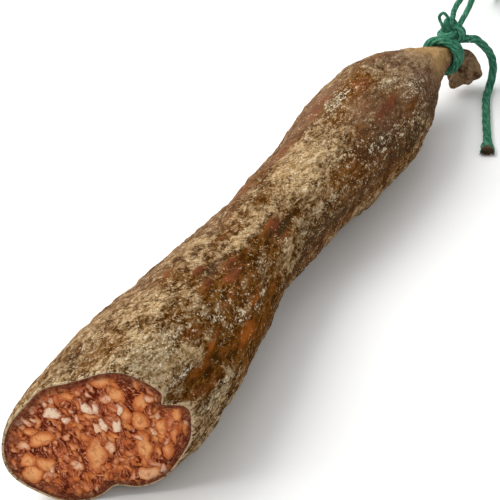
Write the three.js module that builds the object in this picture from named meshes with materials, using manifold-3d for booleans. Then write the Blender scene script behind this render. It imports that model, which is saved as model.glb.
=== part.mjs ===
// A cured sausage in its natural casing, cut on the slant at one end and tied with green twine at
// the other. Millimetres, +Z up. It lies along X on the plane z = 0, with the cut towards -X and
// the tie towards +X. The origin is at the middle of its foot.
import * as THREE from "three";
import { mergeVertices } from "three/addons/utils/BufferGeometryUtils.js";
import Module from "manifold-3d";

const wasm = await Module();
wasm.setup();

// Driving sizes
const CUT_X = -124.5; // the middle of the cut face
const TIE_X = 125.5; // where the twine grips the neck
const BELLY_RADIUS = 24.7; // the thickest part, just behind the cut
const WAIST_RADIUS = 17; // the slim middle
const BULB_RADIUS = 21.2; // the swelling before the tied end
const NECK_RADIUS = 3.2; // under the twine
const CUT_BIAS = -0.74; // how far the cut face moves along X for each millimetre along Y
const CUT_LEAN = 0.07; // and for each millimetre upwards
const CUT_FADE = 60; // the sections turn square over this length behind the cut
const CASING_WALL = 0.9;
const FIT_GAP = 0.3; // between pieces that touch
const FLAT_DEPTH = 0.8; // how far the underside is pressed flat where it rests
const TWINE_RADIUS = 1.65;
const LOOP_RADIUS = 1.15; // the hanging loop is of a thinner strand

// Mesh steps
const SIDES = 32; // facets round the sausage
const STEPS_PER_RING = 3; // sections between two rings
const TWINE_SIDES = 8;
const HOOP_LENGTHS = 5; // an endless hoop of twine is made in this many lengths
const SLIVER = 0.04; // detail smaller than this is merged where tubes join
const TURN = 2 * Math.PI;
const DEGREE = TURN / 360;

// The rings that the sausage is lofted through: the centre of each section, its half width and its
// half height. The belly and the bulb rest on the floor, and the waist is clear of it.
const LENGTH = TIE_X - CUT_X;
const BELLY_Z = BELLY_RADIUS - FLAT_DEPTH;
const BULB_Z = BULB_RADIUS - FLAT_DEPTH;
const ring = (along, y, z, wide, high = wide) => ({
  centre: new THREE.Vector3(CUT_X + along * LENGTH, y, z),
  wide,
  high,
});
const RINGS = [
  ring(0, -1.6, BELLY_Z - 0.3, 22, 23),
  ring(0.09, -0.9, BELLY_Z, BELLY_RADIUS),
  ring(0.18, -1, BELLY_Z - 0.6, 22.9),
  ring(0.27, 0.6, BELLY_Z - 1.8, 21.1),
  ring(0.36, 2, BULB_Z + 0.8, 18),
  ring(0.46, 2.9, BULB_Z, WAIST_RADIUS),
  ring(0.55, 1.8, BULB_Z - 0.1, WAIST_RADIUS * 1.035),
  ring(0.64, 1.4, BULB_Z - 0.1, 19.8),
  ring(0.73, 1.6, BULB_Z, BULB_RADIUS),
  ring(0.81, 1.3, BULB_Z + 0.3, 19.1),
  ring(0.875, 0.9, BULB_Z + 0.3, 15.1),
  ring(0.93, -1.1, BULB_Z + 0.2, 9.4),
  ring(0.967, -3.2, BULB_Z, 5.8),
  ring(0.99, -4.3, BULB_Z - 0.2, NECK_RADIUS * 1.1),
  ring(1.007, -5.6, BULB_Z - 1.2, NECK_RADIUS),
  ring(1.02, -7.5, BULB_Z - 4.6, 3.8, 4.2),
  ring(1.027, -8.8, BULB_Z - 9.2, 4.3, 5.9),
  ring(1.031, -9.7, BULB_Z - 13.8, 4, 6.3),
];
const LAST_RING = RINGS.length - 1;
const TIE_RING = LAST_RING - 4; // the neck runs from this ring to the next
const MEAT_END_RING = TIE_RING - 1.2; // the filling stops short of the tie

// Long shallow waves in the dried surface: depth, waves round the sausage, length along it, phase
const WAVES = [
  { depth: 0.35, round: 2, along: 71, phase: 0.4 },
  { depth: 0.3, round: 3, along: -57, phase: 2.1 },
  { depth: 0.3, round: 5, along: 43, phase: 4 },
  { depth: 0.25, round: 4, along: -37, phase: 5.2 },
];
// Ridges and creases that run back from the cut and die away: angle from the left side over the top
// in degrees, rise, half width in degrees, length
const FOLDS = [
  { angle: 58, rise: 2, half: 12, length: 45 },
  { angle: 100, rise: 1.3, half: 17, length: 45 },
  { angle: 147, rise: -2.9, half: 6.5, length: 60 },
  { angle: 160, rise: 1.4, half: 11, length: 45 },
  { angle: 227, rise: 1.8, half: 17, length: 45 },
  { angle: 256, rise: -3.4, half: 10, length: 40 },
  { angle: 288, rise: 1.9, half: 17, length: 45 },
];
const MEAT_TIP = 1.2; // the length of the filling's blunt tip
const TAIL_TUCK = 2.5; // how far the open end of the tail is folded in
const PLEATS = 6; // folds where the casing is gathered
const PLEAT_START_RING = TIE_RING - 4;
const PLEAT_DEPTH = 0.16; // as a share of the radius, in the gathered end
const TIE_PLEAT_SHARE = 0.4; // the twine presses the folds flatter

const smoothstep = (t) => {
  const c = Math.min(1, Math.max(0, t));
  return c * c * (3 - 2 * c);
};

// A uniform Catmull-Rom spline through one number of each ring, at ring position k.
function alongRings(k, pick) {
  const i = Math.min(LAST_RING - 1, Math.floor(k));
  const t = k - i;
  const at = (j) => {
    if (j < 0) return 2 * pick(RINGS[0]) - pick(RINGS[1]);
    if (j > LAST_RING) return 2 * pick(RINGS[LAST_RING]) - pick(RINGS[LAST_RING - 1]);
    return pick(RINGS[j]);
  };
  const [a, b, c, d] = [at(i - 1), at(i), at(i + 1), at(i + 2)];
  const slopeIn = (c - a) / 2;
  const slopeOut = (d - b) / 2;
  return (
    b +
    slopeIn * t +
    (3 * (c - b) - 2 * slopeIn - slopeOut) * t * t +
    (2 * (b - c) + slopeIn + slopeOut) * t * t * t
  );
}

// The centre line, and the frame of a section: tangent along it, side to the left, top upwards.
function sectionAt(k) {
  const centreAt = (q) =>
    new THREE.Vector3(
      alongRings(q, (r) => r.centre.x),
      alongRings(q, (r) => r.centre.y),
      alongRings(q, (r) => r.centre.z),
    );
  const reach = 0.02;
  const tangent = centreAt(Math.min(LAST_RING, k + reach))
    .sub(centreAt(Math.max(0, k - reach)))
    .normalize();
  // The slanted cut is a true plane, so the first section stands square to X.
  const square = 1 - smoothstep(k);
  tangent.lerp(new THREE.Vector3(1, 0, 0), square).normalize();
  const side = new THREE.Vector3(0, 0, 1).cross(tangent).normalize();
  return {
    centre: centreAt(k),
    tangent,
    side,
    top: tangent.clone().cross(side),
    wide: alongRings(k, (r) => r.wide),
    high: alongRings(k, (r) => r.high),
  };
}

// How far the surface stands off its plain oval section, at distance x along and angle a round.
function relief(x, a, radius) {
  const waves = WAVES.reduce(
    (sum, w) => sum + w.depth * Math.sin(w.round * a + (TURN * x) / w.along + w.phase),
    0,
  );
  const folds = FOLDS.reduce((sum, f) => {
    const away = a - f.angle * DEGREE;
    const turn = Math.atan2(Math.sin(away), Math.cos(away));
    const fade = 1 - smoothstep((x - CUT_X) / f.length);
    return sum + f.rise * fade * Math.exp(-((turn / (f.half * DEGREE)) ** 2));
  }, 0);
  return waves * smoothstep(radius / BELLY_RADIUS) + folds;
}

// The share that the gathered folds add to the radius.
function pleat(k, a) {
  const gathered = smoothstep((k - PLEAT_START_RING) / (TIE_RING - PLEAT_START_RING));
  const opened = smoothstep((k - TIE_RING - 1) / 1.5);
  const depth = PLEAT_DEPTH * (TIE_PLEAT_SHARE * gathered + (1 - TIE_PLEAT_SHARE) * opened);
  return depth * Math.cos(PLEATS * a + 0.6 * Math.sin(a));
}

// A point of the surface, inset millimetres below the skin. Angle 0 is the left side and a quarter
// turn is the top. The floor presses the underside flat.
function surfacePoint(k, a, inset = 0) {
  const s = sectionAt(k);
  const radius = (s.wide + s.high) / 2;
  const swell = (1 + pleat(k, a)) * (1 + relief(s.centre.x, a, radius) / radius);
  const point = s.centre
    .clone()
    .addScaledVector(s.side, (s.wide * swell - inset) * Math.cos(a))
    .addScaledVector(s.top, (s.high * swell - inset) * Math.sin(a));
  point.z = Math.max(point.z, inset);
  const slant = 1 - smoothstep((s.centre.x - CUT_X) / CUT_FADE);
  const { y, z } = RINGS[0].centre;
  point.x += slant * (CUT_BIAS * (point.y - y) + CUT_LEAN * (point.z - z));
  return point;
}

// One closed skin over rings of points, closed by a point at each end.
function closedLoft(startPole, rings, endPole) {
  const sides = rings[0].length;
  const positions = [startPole, ...rings.flat(), endPole].flatMap((p) => [p.x, p.y, p.z]);
  const index = [];
  const at = (row, side) => 1 + row * sides + (side % sides);
  const last = rings.length - 1;
  const end = 1 + rings.length * sides;
  for (let side = 0; side < sides; side++) {
    index.push(0, at(0, side + 1), at(0, side));
    index.push(end, at(last, side), at(last, side + 1));
    for (let row = 0; row < last; row++) {
      index.push(at(row, side), at(row, side + 1), at(row + 1, side + 1));
      index.push(at(row, side), at(row + 1, side + 1), at(row + 1, side));
    }
  }
  const geometry = new THREE.BufferGeometry();
  geometry.setAttribute("position", new THREE.Float32BufferAttribute(positions, 3));
  geometry.setIndex(index);
  return geometry;
}

// Rings of surface points from ring position first to last, at one inset.
function skinRings(first, last, inset) {
  const steps = Math.round((last - first) * STEPS_PER_RING);
  return Array.from({ length: steps + 1 }, (_, i) => {
    const k = first + ((last - first) * i) / steps;
    return Array.from({ length: SIDES }, (_, j) => surfacePoint(k, (TURN * j) / SIDES, inset));
  });
}

const middleOf = (points) =>
  points.reduce((sum, p) => sum.add(p), new THREE.Vector3()).divideScalar(points.length);

// The filling, or a form like it at another inset, from the flat cut face to a blunt tip in the
// shoulder. It can be carried on past the cut.
function fillingGeometry(inset, tipLength, pastCut = 0) {
  const rings = skinRings(0, MEAT_END_RING, inset);
  if (pastCut > 0) {
    rings.unshift(rings[0].map((p) => p.clone().add(new THREE.Vector3(-pastCut, 0, 0))));
  }
  const tip = middleOf(rings.at(-1)).add(new THREE.Vector3(tipLength, 0, 0));
  return closedLoft(middleOf(rings[0]), rings, tip);
}

// The casing: a skin round the filling, gathered into a solid neck and a limp fluted tail
function casingGeometry() {
  const rings = skinRings(0, LAST_RING, 0);
  const tail = sectionAt(LAST_RING);
  const tuck = tail.centre.clone().addScaledVector(tail.tangent, -TAIL_TUCK);
  const whole = solidOf(closedLoft(middleOf(rings[0]), rings, tuck));
  const hollow = solidOf(fillingGeometry(CASING_WALL, MEAT_TIP + 3 * FIT_GAP, CASING_WALL));
  return geometryOf(whole.subtract(hollow));
}

// A round bar along a curve, with flat ends
function tubeGeometry(curve, radius, sides, steps) {
  const section = new THREE.Shape(
    Array.from({ length: sides }, (_, i) => {
      const a = (TURN * i) / sides;
      return new THREE.Vector2(radius * Math.cos(a), radius * Math.sin(a));
    }),
  );
  return new THREE.ExtrudeGeometry(section, { steps, extrudePath: curve });
}

// The twine as an endless hoop, in lengths that share their end rings. The knot runs through itself
// in places, and its lengths are joined there like any other bars.
function hoopGeometries(curve, steps) {
  const { normals, binormals } = curve.computeFrenetFrames(steps, true);
  const ringAt = (step) => {
    const i = step % steps;
    return Array.from({ length: TWINE_SIDES }, (_, j) => {
      const a = (TURN * j) / TWINE_SIDES;
      return curve
        .getPointAt(i / steps)
        .addScaledVector(normals[i], TWINE_RADIUS * Math.cos(a))
        .addScaledVector(binormals[i], TWINE_RADIUS * Math.sin(a));
    });
  };
  const stepsEach = steps / HOOP_LENGTHS;
  return Array.from({ length: HOOP_LENGTHS }, (_, n) => {
    const rings = Array.from({ length: stepsEach + 1 }, (_, i) => ringAt(n * stepsEach + i));
    return closedLoft(middleOf(rings[0]), rings, middleOf(rings.at(-1)));
  });
}

function solidOf(geometry) {
  const bare = geometry.index ? geometry.toNonIndexed() : geometry.clone();
  bare.deleteAttribute("normal");
  bare.deleteAttribute("uv");
  const merged = mergeVertices(bare, 1e-4);
  return new wasm.Manifold(
    new wasm.Mesh({
      numProp: 3,
      vertProperties: merged.attributes.position.array,
      triVerts: new Uint32Array(merged.index.array),
    }),
  );
}

function geometryOf(solid) {
  const mesh = solid.getMesh();
  const geometry = new THREE.BufferGeometry();
  geometry.setAttribute("position", new THREE.BufferAttribute(mesh.vertProperties, 3));
  geometry.setIndex(new THREE.BufferAttribute(mesh.triVerts, 1));
  return geometry;
}

// Joins tubes into one solid, and fills the small hollows that the joining seals.
function fused(geometries) {
  const joined = geometries.map(solidOf).reduce((sum, next) => sum.add(next));
  const shells = joined.decompose();
  const biggest = shells.reduce((a, b) => (a.volume() > b.volume() ? a : b));
  return geometryOf(biggest.simplify(SLIVER));
}

// The twine's wraps: each turn hugs the neck, and its left side leans down the shoulder.
const WRAP_LEAN = 0.5; // in rings
const WRAP_REACH = 0.3; // the rings that the twine covers to each side of its middle
const WRAP_STEPS = 20;
const WRAP_TURNS = [0.1, 0.7]; // where the turns cross the neck, in rings past the tie
const reachAt = (k) => (1 + PLEAT_DEPTH * TIE_PLEAT_SHARE) * alongRings(k, (r) => r.wide);
function wrapCurve(offset) {
  const points = Array.from({ length: WRAP_STEPS }, (_, i) => {
    const a = (TURN * i) / WRAP_STEPS;
    const k = TIE_RING + offset - (WRAP_LEAN * (1 + Math.cos(a))) / 2;
    const s = sectionAt(k);
    const stoutest = Math.max(...[-WRAP_REACH, 0, WRAP_REACH].map((d) => reachAt(k + d)));
    const away = stoutest + TWINE_RADIUS + FIT_GAP;
    return s.centre
      .clone()
      .addScaledVector(s.side, away * Math.cos(a))
      .addScaledVector(s.top, away * Math.sin(a));
  });
  return new THREE.CatmullRomCurve3(points, true);
}

// The knot: a tight three-lobed knot lying on top of the wraps
const KNOT_CENTRE = new THREE.Vector3(TIE_X + 3.8, -4, BULB_Z + 7.2);
const KNOT_SCALE = 1.45;
const KNOT_STEPS = 30;
const KNOT_FACING = new THREE.Vector3(-0.45, -0.35, 0.82).normalize();
function knotCurve() {
  const turned = new THREE.Quaternion().setFromUnitVectors(
    new THREE.Vector3(0, 0, 1),
    KNOT_FACING,
  );
  const points = Array.from({ length: KNOT_STEPS }, (_, i) => {
    const a = (TURN * i) / KNOT_STEPS;
    return new THREE.Vector3(
      Math.sin(a) + 2 * Math.sin(2 * a),
      Math.cos(a) - 2 * Math.cos(2 * a),
      -Math.sin(3 * a),
    )
      .multiplyScalar(KNOT_SCALE)
      .applyQuaternion(turned)
      .add(KNOT_CENTRE);
  });
  return new THREE.CatmullRomCurve3(points, true);
}

// Points given from the knot's centre
const fromKnot = (...offsets) =>
  offsets.map(([x, y, z]) => new THREE.Vector3(x, y, z).add(KNOT_CENTRE));

// A slack ply of the twine that stands out of the knot as a small eye
const EAR_RADIUS = 0.65;
const EAR_SIDES = 6;
const EAR_STEPS = 14;
const EAR = new THREE.CatmullRomCurve3(
  fromKnot(
    [-2.9, 1.9, 1],
    [-2.8, 3, 3.6],
    [-2.6, 4.4, 6.6],
    [-2.4, 2.8, 8.6],
    [-2.3, 1, 7],
    [-2.1, 1.1, 3.6],
    [-1.6, 0.4, 1],
  ),
);

// Stubs of twine that leave the knot, and the free cords that go on from them
const FLOOR_GAP = 0.1;
const STUB = 3.4; // how far a stub stands out
const cord = (foot, way, radius) => ({
  foot: fromKnot(foot)[0],
  way: new THREE.Vector3(...way).normalize(),
  radius,
});
const LOOP_OUT = cord([0.8, 0.8, 2.6], [0.74, 0.1, 0.66], LOOP_RADIUS);
const LOOP_BACK = cord([1.8, -2.2, 2.2], [0.84, -0.1, 0.54], LOOP_RADIUS);
const END_OUT = cord([1.2, -3.6, -3], [0.5, -0.86, -0.02], TWINE_RADIUS);
const along = ({ foot, way }, distance) => foot.clone().addScaledVector(way, distance);
const stubGeometry = (c) =>
  tubeGeometry(new THREE.LineCurve3(along(c, -1.5), along(c, STUB)), c.radius, TWINE_SIDES, 1);

// The hanging loop: out from the knot, down behind the sausage, round on the floor and back
const LOOP_Z = LOOP_RADIUS + FLOOR_GAP; // the middle of the loop where it lies on the floor
const LOOP_STEPS = 70;
const LOOP_CURVE = new THREE.CatmullRomCurve3([
  along(LOOP_OUT, STUB + FIT_GAP),
  along(LOOP_OUT, STUB + 3),
  new THREE.Vector3(140, -2.8, 36.4),
  new THREE.Vector3(148.6, -2.4, 37),
  new THREE.Vector3(158, 1, 34.8),
  new THREE.Vector3(170, 6.4, 29.4),
  new THREE.Vector3(180, 10.4, 22),
  new THREE.Vector3(189, 14, 13.6),
  new THREE.Vector3(197.4, 17.4, 6),
  new THREE.Vector3(206, 20.4, LOOP_Z + 0.5),
  new THREE.Vector3(215, 22.2, LOOP_Z),
  new THREE.Vector3(223, 19.6, LOOP_Z),
  new THREE.Vector3(225.6, 12.6, LOOP_Z),
  new THREE.Vector3(221, 6.8, LOOP_Z),
  new THREE.Vector3(212.4, 5.4, LOOP_Z),
  new THREE.Vector3(204.6, 6.4, LOOP_Z + 1),
  new THREE.Vector3(196.4, 5.6, 7),
  new THREE.Vector3(188, 3.6, 14.8),
  new THREE.Vector3(179.2, 1.2, 22.8),
  new THREE.Vector3(169, -1.8, 29.8),
  new THREE.Vector3(157.6, -4.2, 34.6),
  new THREE.Vector3(147, -5.8, 36.4),
  along(LOOP_BACK, STUB + 4),
  along(LOOP_BACK, STUB + FIT_GAP),
]);

// The cut end: over the side of the knot, down to the floor and back along the sausage
const END_Z = TWINE_RADIUS + FLOOR_GAP;
const END_STEPS = 36;
const END_CURVE = new THREE.CatmullRomCurve3([
  along(END_OUT, STUB + FIT_GAP),
  along(END_OUT, STUB + 2),
  new THREE.Vector3(136, -15, 21),
  new THREE.Vector3(139.8, -17.4, 14.6),
  new THREE.Vector3(140.8, -18.4, 8),
  new THREE.Vector3(137.8, -18.8, 2.8),
  new THREE.Vector3(131, -20.2, END_Z),
  new THREE.Vector3(122.4, -23.6, END_Z),
  new THREE.Vector3(113, -27.6, END_Z),
  new THREE.Vector3(104.6, -31.4, END_Z),
  new THREE.Vector3(96, -35, END_Z),
]);

// Materials
const CASING_FINISH = { color: 0x7d6648, roughness: 0.75, metalness: 0 };
const MEAT_FINISH = { color: 0xa9492c, roughness: 0.42, metalness: 0 };
const TWINE_FINISH = { color: 0x2f7358, roughness: 0.85, metalness: 0 };

const sausage = new THREE.Group();
function addPiece(name, geometry, finish) {
  const mesh = new THREE.Mesh(geometry, new THREE.MeshStandardMaterial(finish));
  mesh.name = name;
  sausage.add(mesh);
}
addPiece("casing", casingGeometry(), CASING_FINISH);
addPiece("meat", fillingGeometry(CASING_WALL + FIT_GAP, MEAT_TIP), MEAT_FINISH);
addPiece(
  "twine_knot",
  fused([
    ...WRAP_TURNS.flatMap((offset) => hoopGeometries(wrapCurve(offset), WRAP_STEPS)),
    ...hoopGeometries(knotCurve(), KNOT_STEPS),
    tubeGeometry(EAR, EAR_RADIUS, EAR_SIDES, EAR_STEPS),
    ...[LOOP_OUT, LOOP_BACK, END_OUT].map(stubGeometry),
  ]),
  TWINE_FINISH,
);
addPiece("twine_loop", tubeGeometry(LOOP_CURVE, LOOP_RADIUS, TWINE_SIDES, LOOP_STEPS), TWINE_FINISH);
addPiece("twine_end", tubeGeometry(END_CURVE, TWINE_RADIUS, TWINE_SIDES, END_STEPS), TWINE_FINISH);

export default sausage;
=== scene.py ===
"""Dresses the cured sausage: a mould-dusted casing, the chopped filling at the slanted cut, and the
green twisted twine that ties the gathered end. It lies on a pale floor in soft studio light."""

import math

import bpy
import numpy as np
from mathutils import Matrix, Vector


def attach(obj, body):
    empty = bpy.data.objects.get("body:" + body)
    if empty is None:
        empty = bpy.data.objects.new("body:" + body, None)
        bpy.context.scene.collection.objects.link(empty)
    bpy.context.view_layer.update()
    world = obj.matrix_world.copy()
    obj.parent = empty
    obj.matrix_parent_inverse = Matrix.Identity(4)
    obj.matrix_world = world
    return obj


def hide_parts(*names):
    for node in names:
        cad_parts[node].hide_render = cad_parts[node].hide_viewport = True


bl_info = {
    "name": "Cured Sausage",
    "version": (1, 0, 0),
    "blender": (4, 5, 0),
    "location": "View3D > Sidebar > Sausage",
    "description": "Builds a cured sausage with a cut face, a dusted casing and a green twine tie",
    "category": "Object",
}

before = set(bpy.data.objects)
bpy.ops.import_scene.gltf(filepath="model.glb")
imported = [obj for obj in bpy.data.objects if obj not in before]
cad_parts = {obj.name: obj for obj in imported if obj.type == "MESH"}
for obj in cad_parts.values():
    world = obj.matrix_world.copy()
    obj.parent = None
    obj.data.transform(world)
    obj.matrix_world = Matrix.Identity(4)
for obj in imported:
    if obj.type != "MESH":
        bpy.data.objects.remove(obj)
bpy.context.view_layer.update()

MM = 0.001
TURN = 2 * math.pi
ALONG = np.array([1.0, 0, 0])
UP = np.array([0.0, 0, 1])

# The form, in millimetres, as the part's solids have it
CUT_X = -124.5
TIE_X = 125.5
CUT_BIAS = -0.74
CUT_LEAN = 0.07
CUT_FADE = 60
FLAT_DEPTH = 0.8
BELLY_RADIUS = 24.7
WAIST_RADIUS = 17
BULB_RADIUS = 21.2
NECK_RADIUS = 3.2
CASING_WALL = 0.9
TWINE_RADIUS = 1.65
LOOP_RADIUS = 1.15
BELLY_Z = BELLY_RADIUS - FLAT_DEPTH
BULB_Z = BULB_RADIUS - FLAT_DEPTH

# Rings: place along the sausage, then y and z of the centre, half width and half height
RINGS = np.array([
    (0, -1.6, BELLY_Z - 0.3, 22, 23),
    (0.09, -0.9, BELLY_Z, BELLY_RADIUS, BELLY_RADIUS),
    (0.18, -1, BELLY_Z - 0.6, 22.9, 22.9),
    (0.27, 0.6, BELLY_Z - 1.8, 21.1, 21.1),
    (0.36, 2, BULB_Z + 0.8, 18, 18),
    (0.46, 2.9, BULB_Z, WAIST_RADIUS, WAIST_RADIUS),
    (0.55, 1.8, BULB_Z - 0.1, WAIST_RADIUS * 1.035, WAIST_RADIUS * 1.035),
    (0.64, 1.4, BULB_Z - 0.1, 19.8, 19.8),
    (0.73, 1.6, BULB_Z, BULB_RADIUS, BULB_RADIUS),
    (0.81, 1.3, BULB_Z + 0.3, 19.1, 19.1),
    (0.875, 0.9, BULB_Z + 0.3, 15.1, 15.1),
    (0.93, -1.1, BULB_Z + 0.2, 9.4, 9.4),
    (0.967, -3.2, BULB_Z, 5.8, 5.8),
    (0.99, -4.3, BULB_Z - 0.2, NECK_RADIUS * 1.1, NECK_RADIUS * 1.1),
    (1.007, -5.6, BULB_Z - 1.2, NECK_RADIUS, NECK_RADIUS),
    (1.02, -7.5, BULB_Z - 4.6, 3.8, 4.2),
    (1.027, -8.8, BULB_Z - 9.2, 4.3, 5.9),
    (1.031, -9.7, BULB_Z - 13.8, 4, 6.3),
])
RING_X = CUT_X + RINGS[:, 0] * (TIE_X - CUT_X)
LAST_RING = len(RINGS) - 1
TIE_RING = LAST_RING - 4
MEAT_END_RING = TIE_RING - 1.2

# Long shallow waves: depth, waves round the sausage, length along it, phase
WAVES = [(0.35, 2, 71, 0.4), (0.3, 3, -57, 2.1), (0.3, 5, 43, 4), (0.25, 4, -37, 5.2)]
# Ridges and creases that start at the cut: angle, rise, half width in degrees, length
FOLDS = [
    (58, 2, 12, 45),
    (100, 1.3, 17, 45),
    (147, -2.9, 6.5, 60),
    (160, 1.4, 11, 45),
    (227, 1.8, 17, 45),
    (256, -3.4, 10, 40),
    (288, 1.9, 17, 45),
]
PLEATS = 6
PLEAT_START_RING = TIE_RING - 4
PLEAT_DEPTH = 0.16
TIE_PLEAT_SHARE = 0.4


def smoothstep(t):
    """0 below 0, 1 above 1, and 3t^2 - 2t^3 between."""
    c = np.clip(t, 0, 1)
    return c * c * (3 - 2 * c)


def along_rings(k, values):
    """Uniform Catmull-Rom spline through one value a ring, at ring position k."""
    v = np.concatenate([[2 * values[0] - values[1]], values, [2 * values[-1] - values[-2]]])
    i = np.clip(np.floor(k).astype(int), 0, LAST_RING - 1)
    t = k - i
    a, b, c, d = v[i], v[i + 1], v[i + 2], v[i + 3]
    m0, m1 = (c - a) / 2, (d - b) / 2
    return b + m0 * t + (3 * (c - b) - 2 * m0 - m1) * t**2 + (2 * (b - c) + m0 + m1) * t**3


def unit(v):
    return v / np.linalg.norm(v, axis=-1, keepdims=True)


def centre_line(k):
    return np.stack([along_rings(k, RING_X), along_rings(k, RINGS[:, 1]), along_rings(k, RINGS[:, 2])], -1)


def section(k):
    """Centre, tangent, side and top of the section at ring position k. The tangent is the slope of
    the centre line, and turns to plain X at the cut. Side is up crossed with the tangent."""
    reach = 0.02
    tangent = unit(centre_line(np.minimum(LAST_RING, k + reach)) - centre_line(np.maximum(0, k - reach)))
    square = (1 - smoothstep(k))[..., None]
    tangent = unit(tangent * (1 - square) + ALONG * square)
    side = unit(np.cross(UP, tangent))
    return centre_line(k), tangent, side, np.cross(tangent, side)


def waves_and_folds(x, a, radius):
    """Millimetres off the plain section: sines of angle and length, and bell-shaped folds in the
    angle that fade along the length."""
    waves = sum(d * np.sin(n * a + TURN * x / l + p) for d, n, l, p in WAVES)
    folds = 0
    for angle, rise, half, length in FOLDS:
        away = a - math.radians(angle)
        turn = np.arctan2(np.sin(away), np.cos(away))
        fade = 1 - smoothstep((x - CUT_X) / length)
        folds = folds + rise * fade * np.exp(-(turn / math.radians(half)) ** 2)
    return waves * smoothstep(radius / BELLY_RADIUS) + folds


def pleat(k, a):
    """The share that the gathered folds add to the radius: a cosine round the neck and tail."""
    gathered = smoothstep((k - PLEAT_START_RING) / (TIE_RING - PLEAT_START_RING))
    opened = smoothstep((k - TIE_RING - 1) / 1.5)
    depth = PLEAT_DEPTH * (TIE_PLEAT_SHARE * gathered + (1 - TIE_PLEAT_SHARE) * opened)
    return depth * np.cos(PLEATS * a + 0.6 * np.sin(a))


def skin(k, a, inset=0.0, lift=0.0):
    """Points of the surface on the grid k by a: the section's oval, swollen by waves, folds and
    pleats, less the inset, plus the lift. The floor flattens it and the cut slants it."""
    centre, tangent, side, top = section(k)
    wide, high = along_rings(k, RINGS[:, 3]), along_rings(k, RINGS[:, 4])
    radius = (wide + high) / 2
    swell = (1 + pleat(k, a)) * (1 + waves_and_folds(centre[..., 0], a, radius) / radius)
    out = (wide * swell - inset + lift) * np.cos(a)
    up = (high * swell - inset + lift) * np.sin(a)
    points = centre + side * out[..., None] + top * up[..., None]
    floor = np.broadcast_to(inset, out.shape)
    points[..., 2] = np.maximum(points[..., 2], floor)
    slant = 1 - smoothstep((centre[..., 0] - CUT_X) / CUT_FADE)
    lean = CUT_BIAS * (points[..., 1] - RINGS[0, 1]) + CUT_LEAN * (points[..., 2] - RINGS[0, 2])
    points[..., 0] += slant * lean
    return points


# The skin's noise lattice, in millimetres: the radius that its cells are counted round, and how far
# before the cut it starts, because the cut slants
LATTICE_RADIUS = 20
LATTICE_LEAD = 40


def skin_noise(x, a, cell, seed, stretch=1.0):
    """Smooth values from -1 to 1 over the unrolled skin: random numbers on a lattice of cells that
    closes round the sausage, blended by smoothstep weights. Stretch lengthens cells along it."""
    random = np.random.default_rng(seed)
    across = max(3, round(TURN * LATTICE_RADIUS / cell))
    u = (x - CUT_X + LATTICE_LEAD) / (cell * stretch)
    v = (a / TURN % 1) * across
    rows = int(np.max(u)) + 3
    lattice = random.uniform(-1, 1, (rows, across))
    i, j = np.floor(u).astype(int), np.floor(v).astype(int)
    s, t = smoothstep(u - i), smoothstep(v - j)
    near, far = j % across, (j + 1) % across
    first = lattice[i, near] * (1 - t) + lattice[i, far] * t
    second = lattice[i + 1, near] * (1 - t) + lattice[i + 1, far] * t
    return first * (1 - s) + second * s


def skin_octaves(x, a, cell, seed, octaves=3, stretch=1.0):
    """Sum of skin_noise at halved cells and halved heights."""
    return sum(skin_noise(x, a, cell / 2**o, seed + o, stretch) / 2**o for o in range(octaves))


def patches(x, a, spots):
    """Sum of bell-shaped spots on the unrolled skin: place along, angle in degrees, half length,
    half angle and strength of each."""
    degrees = np.degrees(a)
    total = 0
    for place, angle, half_length, half_angle, strength in spots:
        away = (degrees - angle + 180) % 360 - 180
        total = total + strength * np.exp(-((x - place) / half_length) ** 2 - (away / half_angle) ** 2)
    return total


# Spots on the skin: place along in millimetres, angle in degrees (0 is the left side, 90 the top), half
# length, half angle and strength. First where the powdery crust is thick, then where it has rubbed off; the
# rubbed spots low on the side, near 180 degrees, take the crust off there as painted shade.
CRUST_SPOTS = [
    (12, 92, 13, 20, 1.9), (30, 78, 8, 7, 0.7), (32, 108, 8, 8, 0.5), (0, 108, 12, 10, 0.2),
    (-24, 106, 7, 5, 1.0), (16, 123, 12, 6, 0.5), (-33, 110, 9, 5, 1.3), (-45, 104, 7, 4, 0.7),
    (-92, 84, 16, 12, 0.7), (-110, 67, 13, 10, 0.7), (-112, 102, 9, 8, 1.1), (-104, 129, 7, 5, 0.7),
    (-62, 68, 16, 9, 0.6), (-45, 62, 10, 10, 0.5), (-69, 147, 5, 2.5, 0.6), (-60, 153, 6, 2.5, 0.6),
    (-28, 146, 5, 6, 1.1), (2, 144, 7, 7, 1.3), (6, 82, 5, 5, 0.8), (-114, 116, 11, 12, 0.8),
    (-96, 173, 13, 8, 1.1), (46, 74, 5, 7, 1.3), (20, 134, 9, 8, 0.5), (-12, 81, 4, 3, 1.3),
    (-43, 76, 4, 4, 1.1), (66, 111, 5, 3, 1.0), (45, 120, 3, 4, 0.9), (44, 142, 6, 5, 0.3),
    (43, 154, 5, 3, 0.5), (10, 148, 10, 6, 0.5), (-10, 152, 8, 6, 0.7), (-48, 134, 7, 6, 0.6),
    (-116, 124, 10, 11, 0.9), (-42, 106, 9, 5, 0.7), (4, 86, 8, 8, 0.7), (18, 118, 9, 9, 0.4),
    (102, 114, 13, 18, 1.6), (-26, 169, 12, 5, 1.9), (-36, 106, 8, 5, 0.7), (-10, 143, 8, 5, 0.5),
    (20, 300, 40, 30, 0.4), (-80, 320, 30, 25, 0.5),
]
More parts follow.
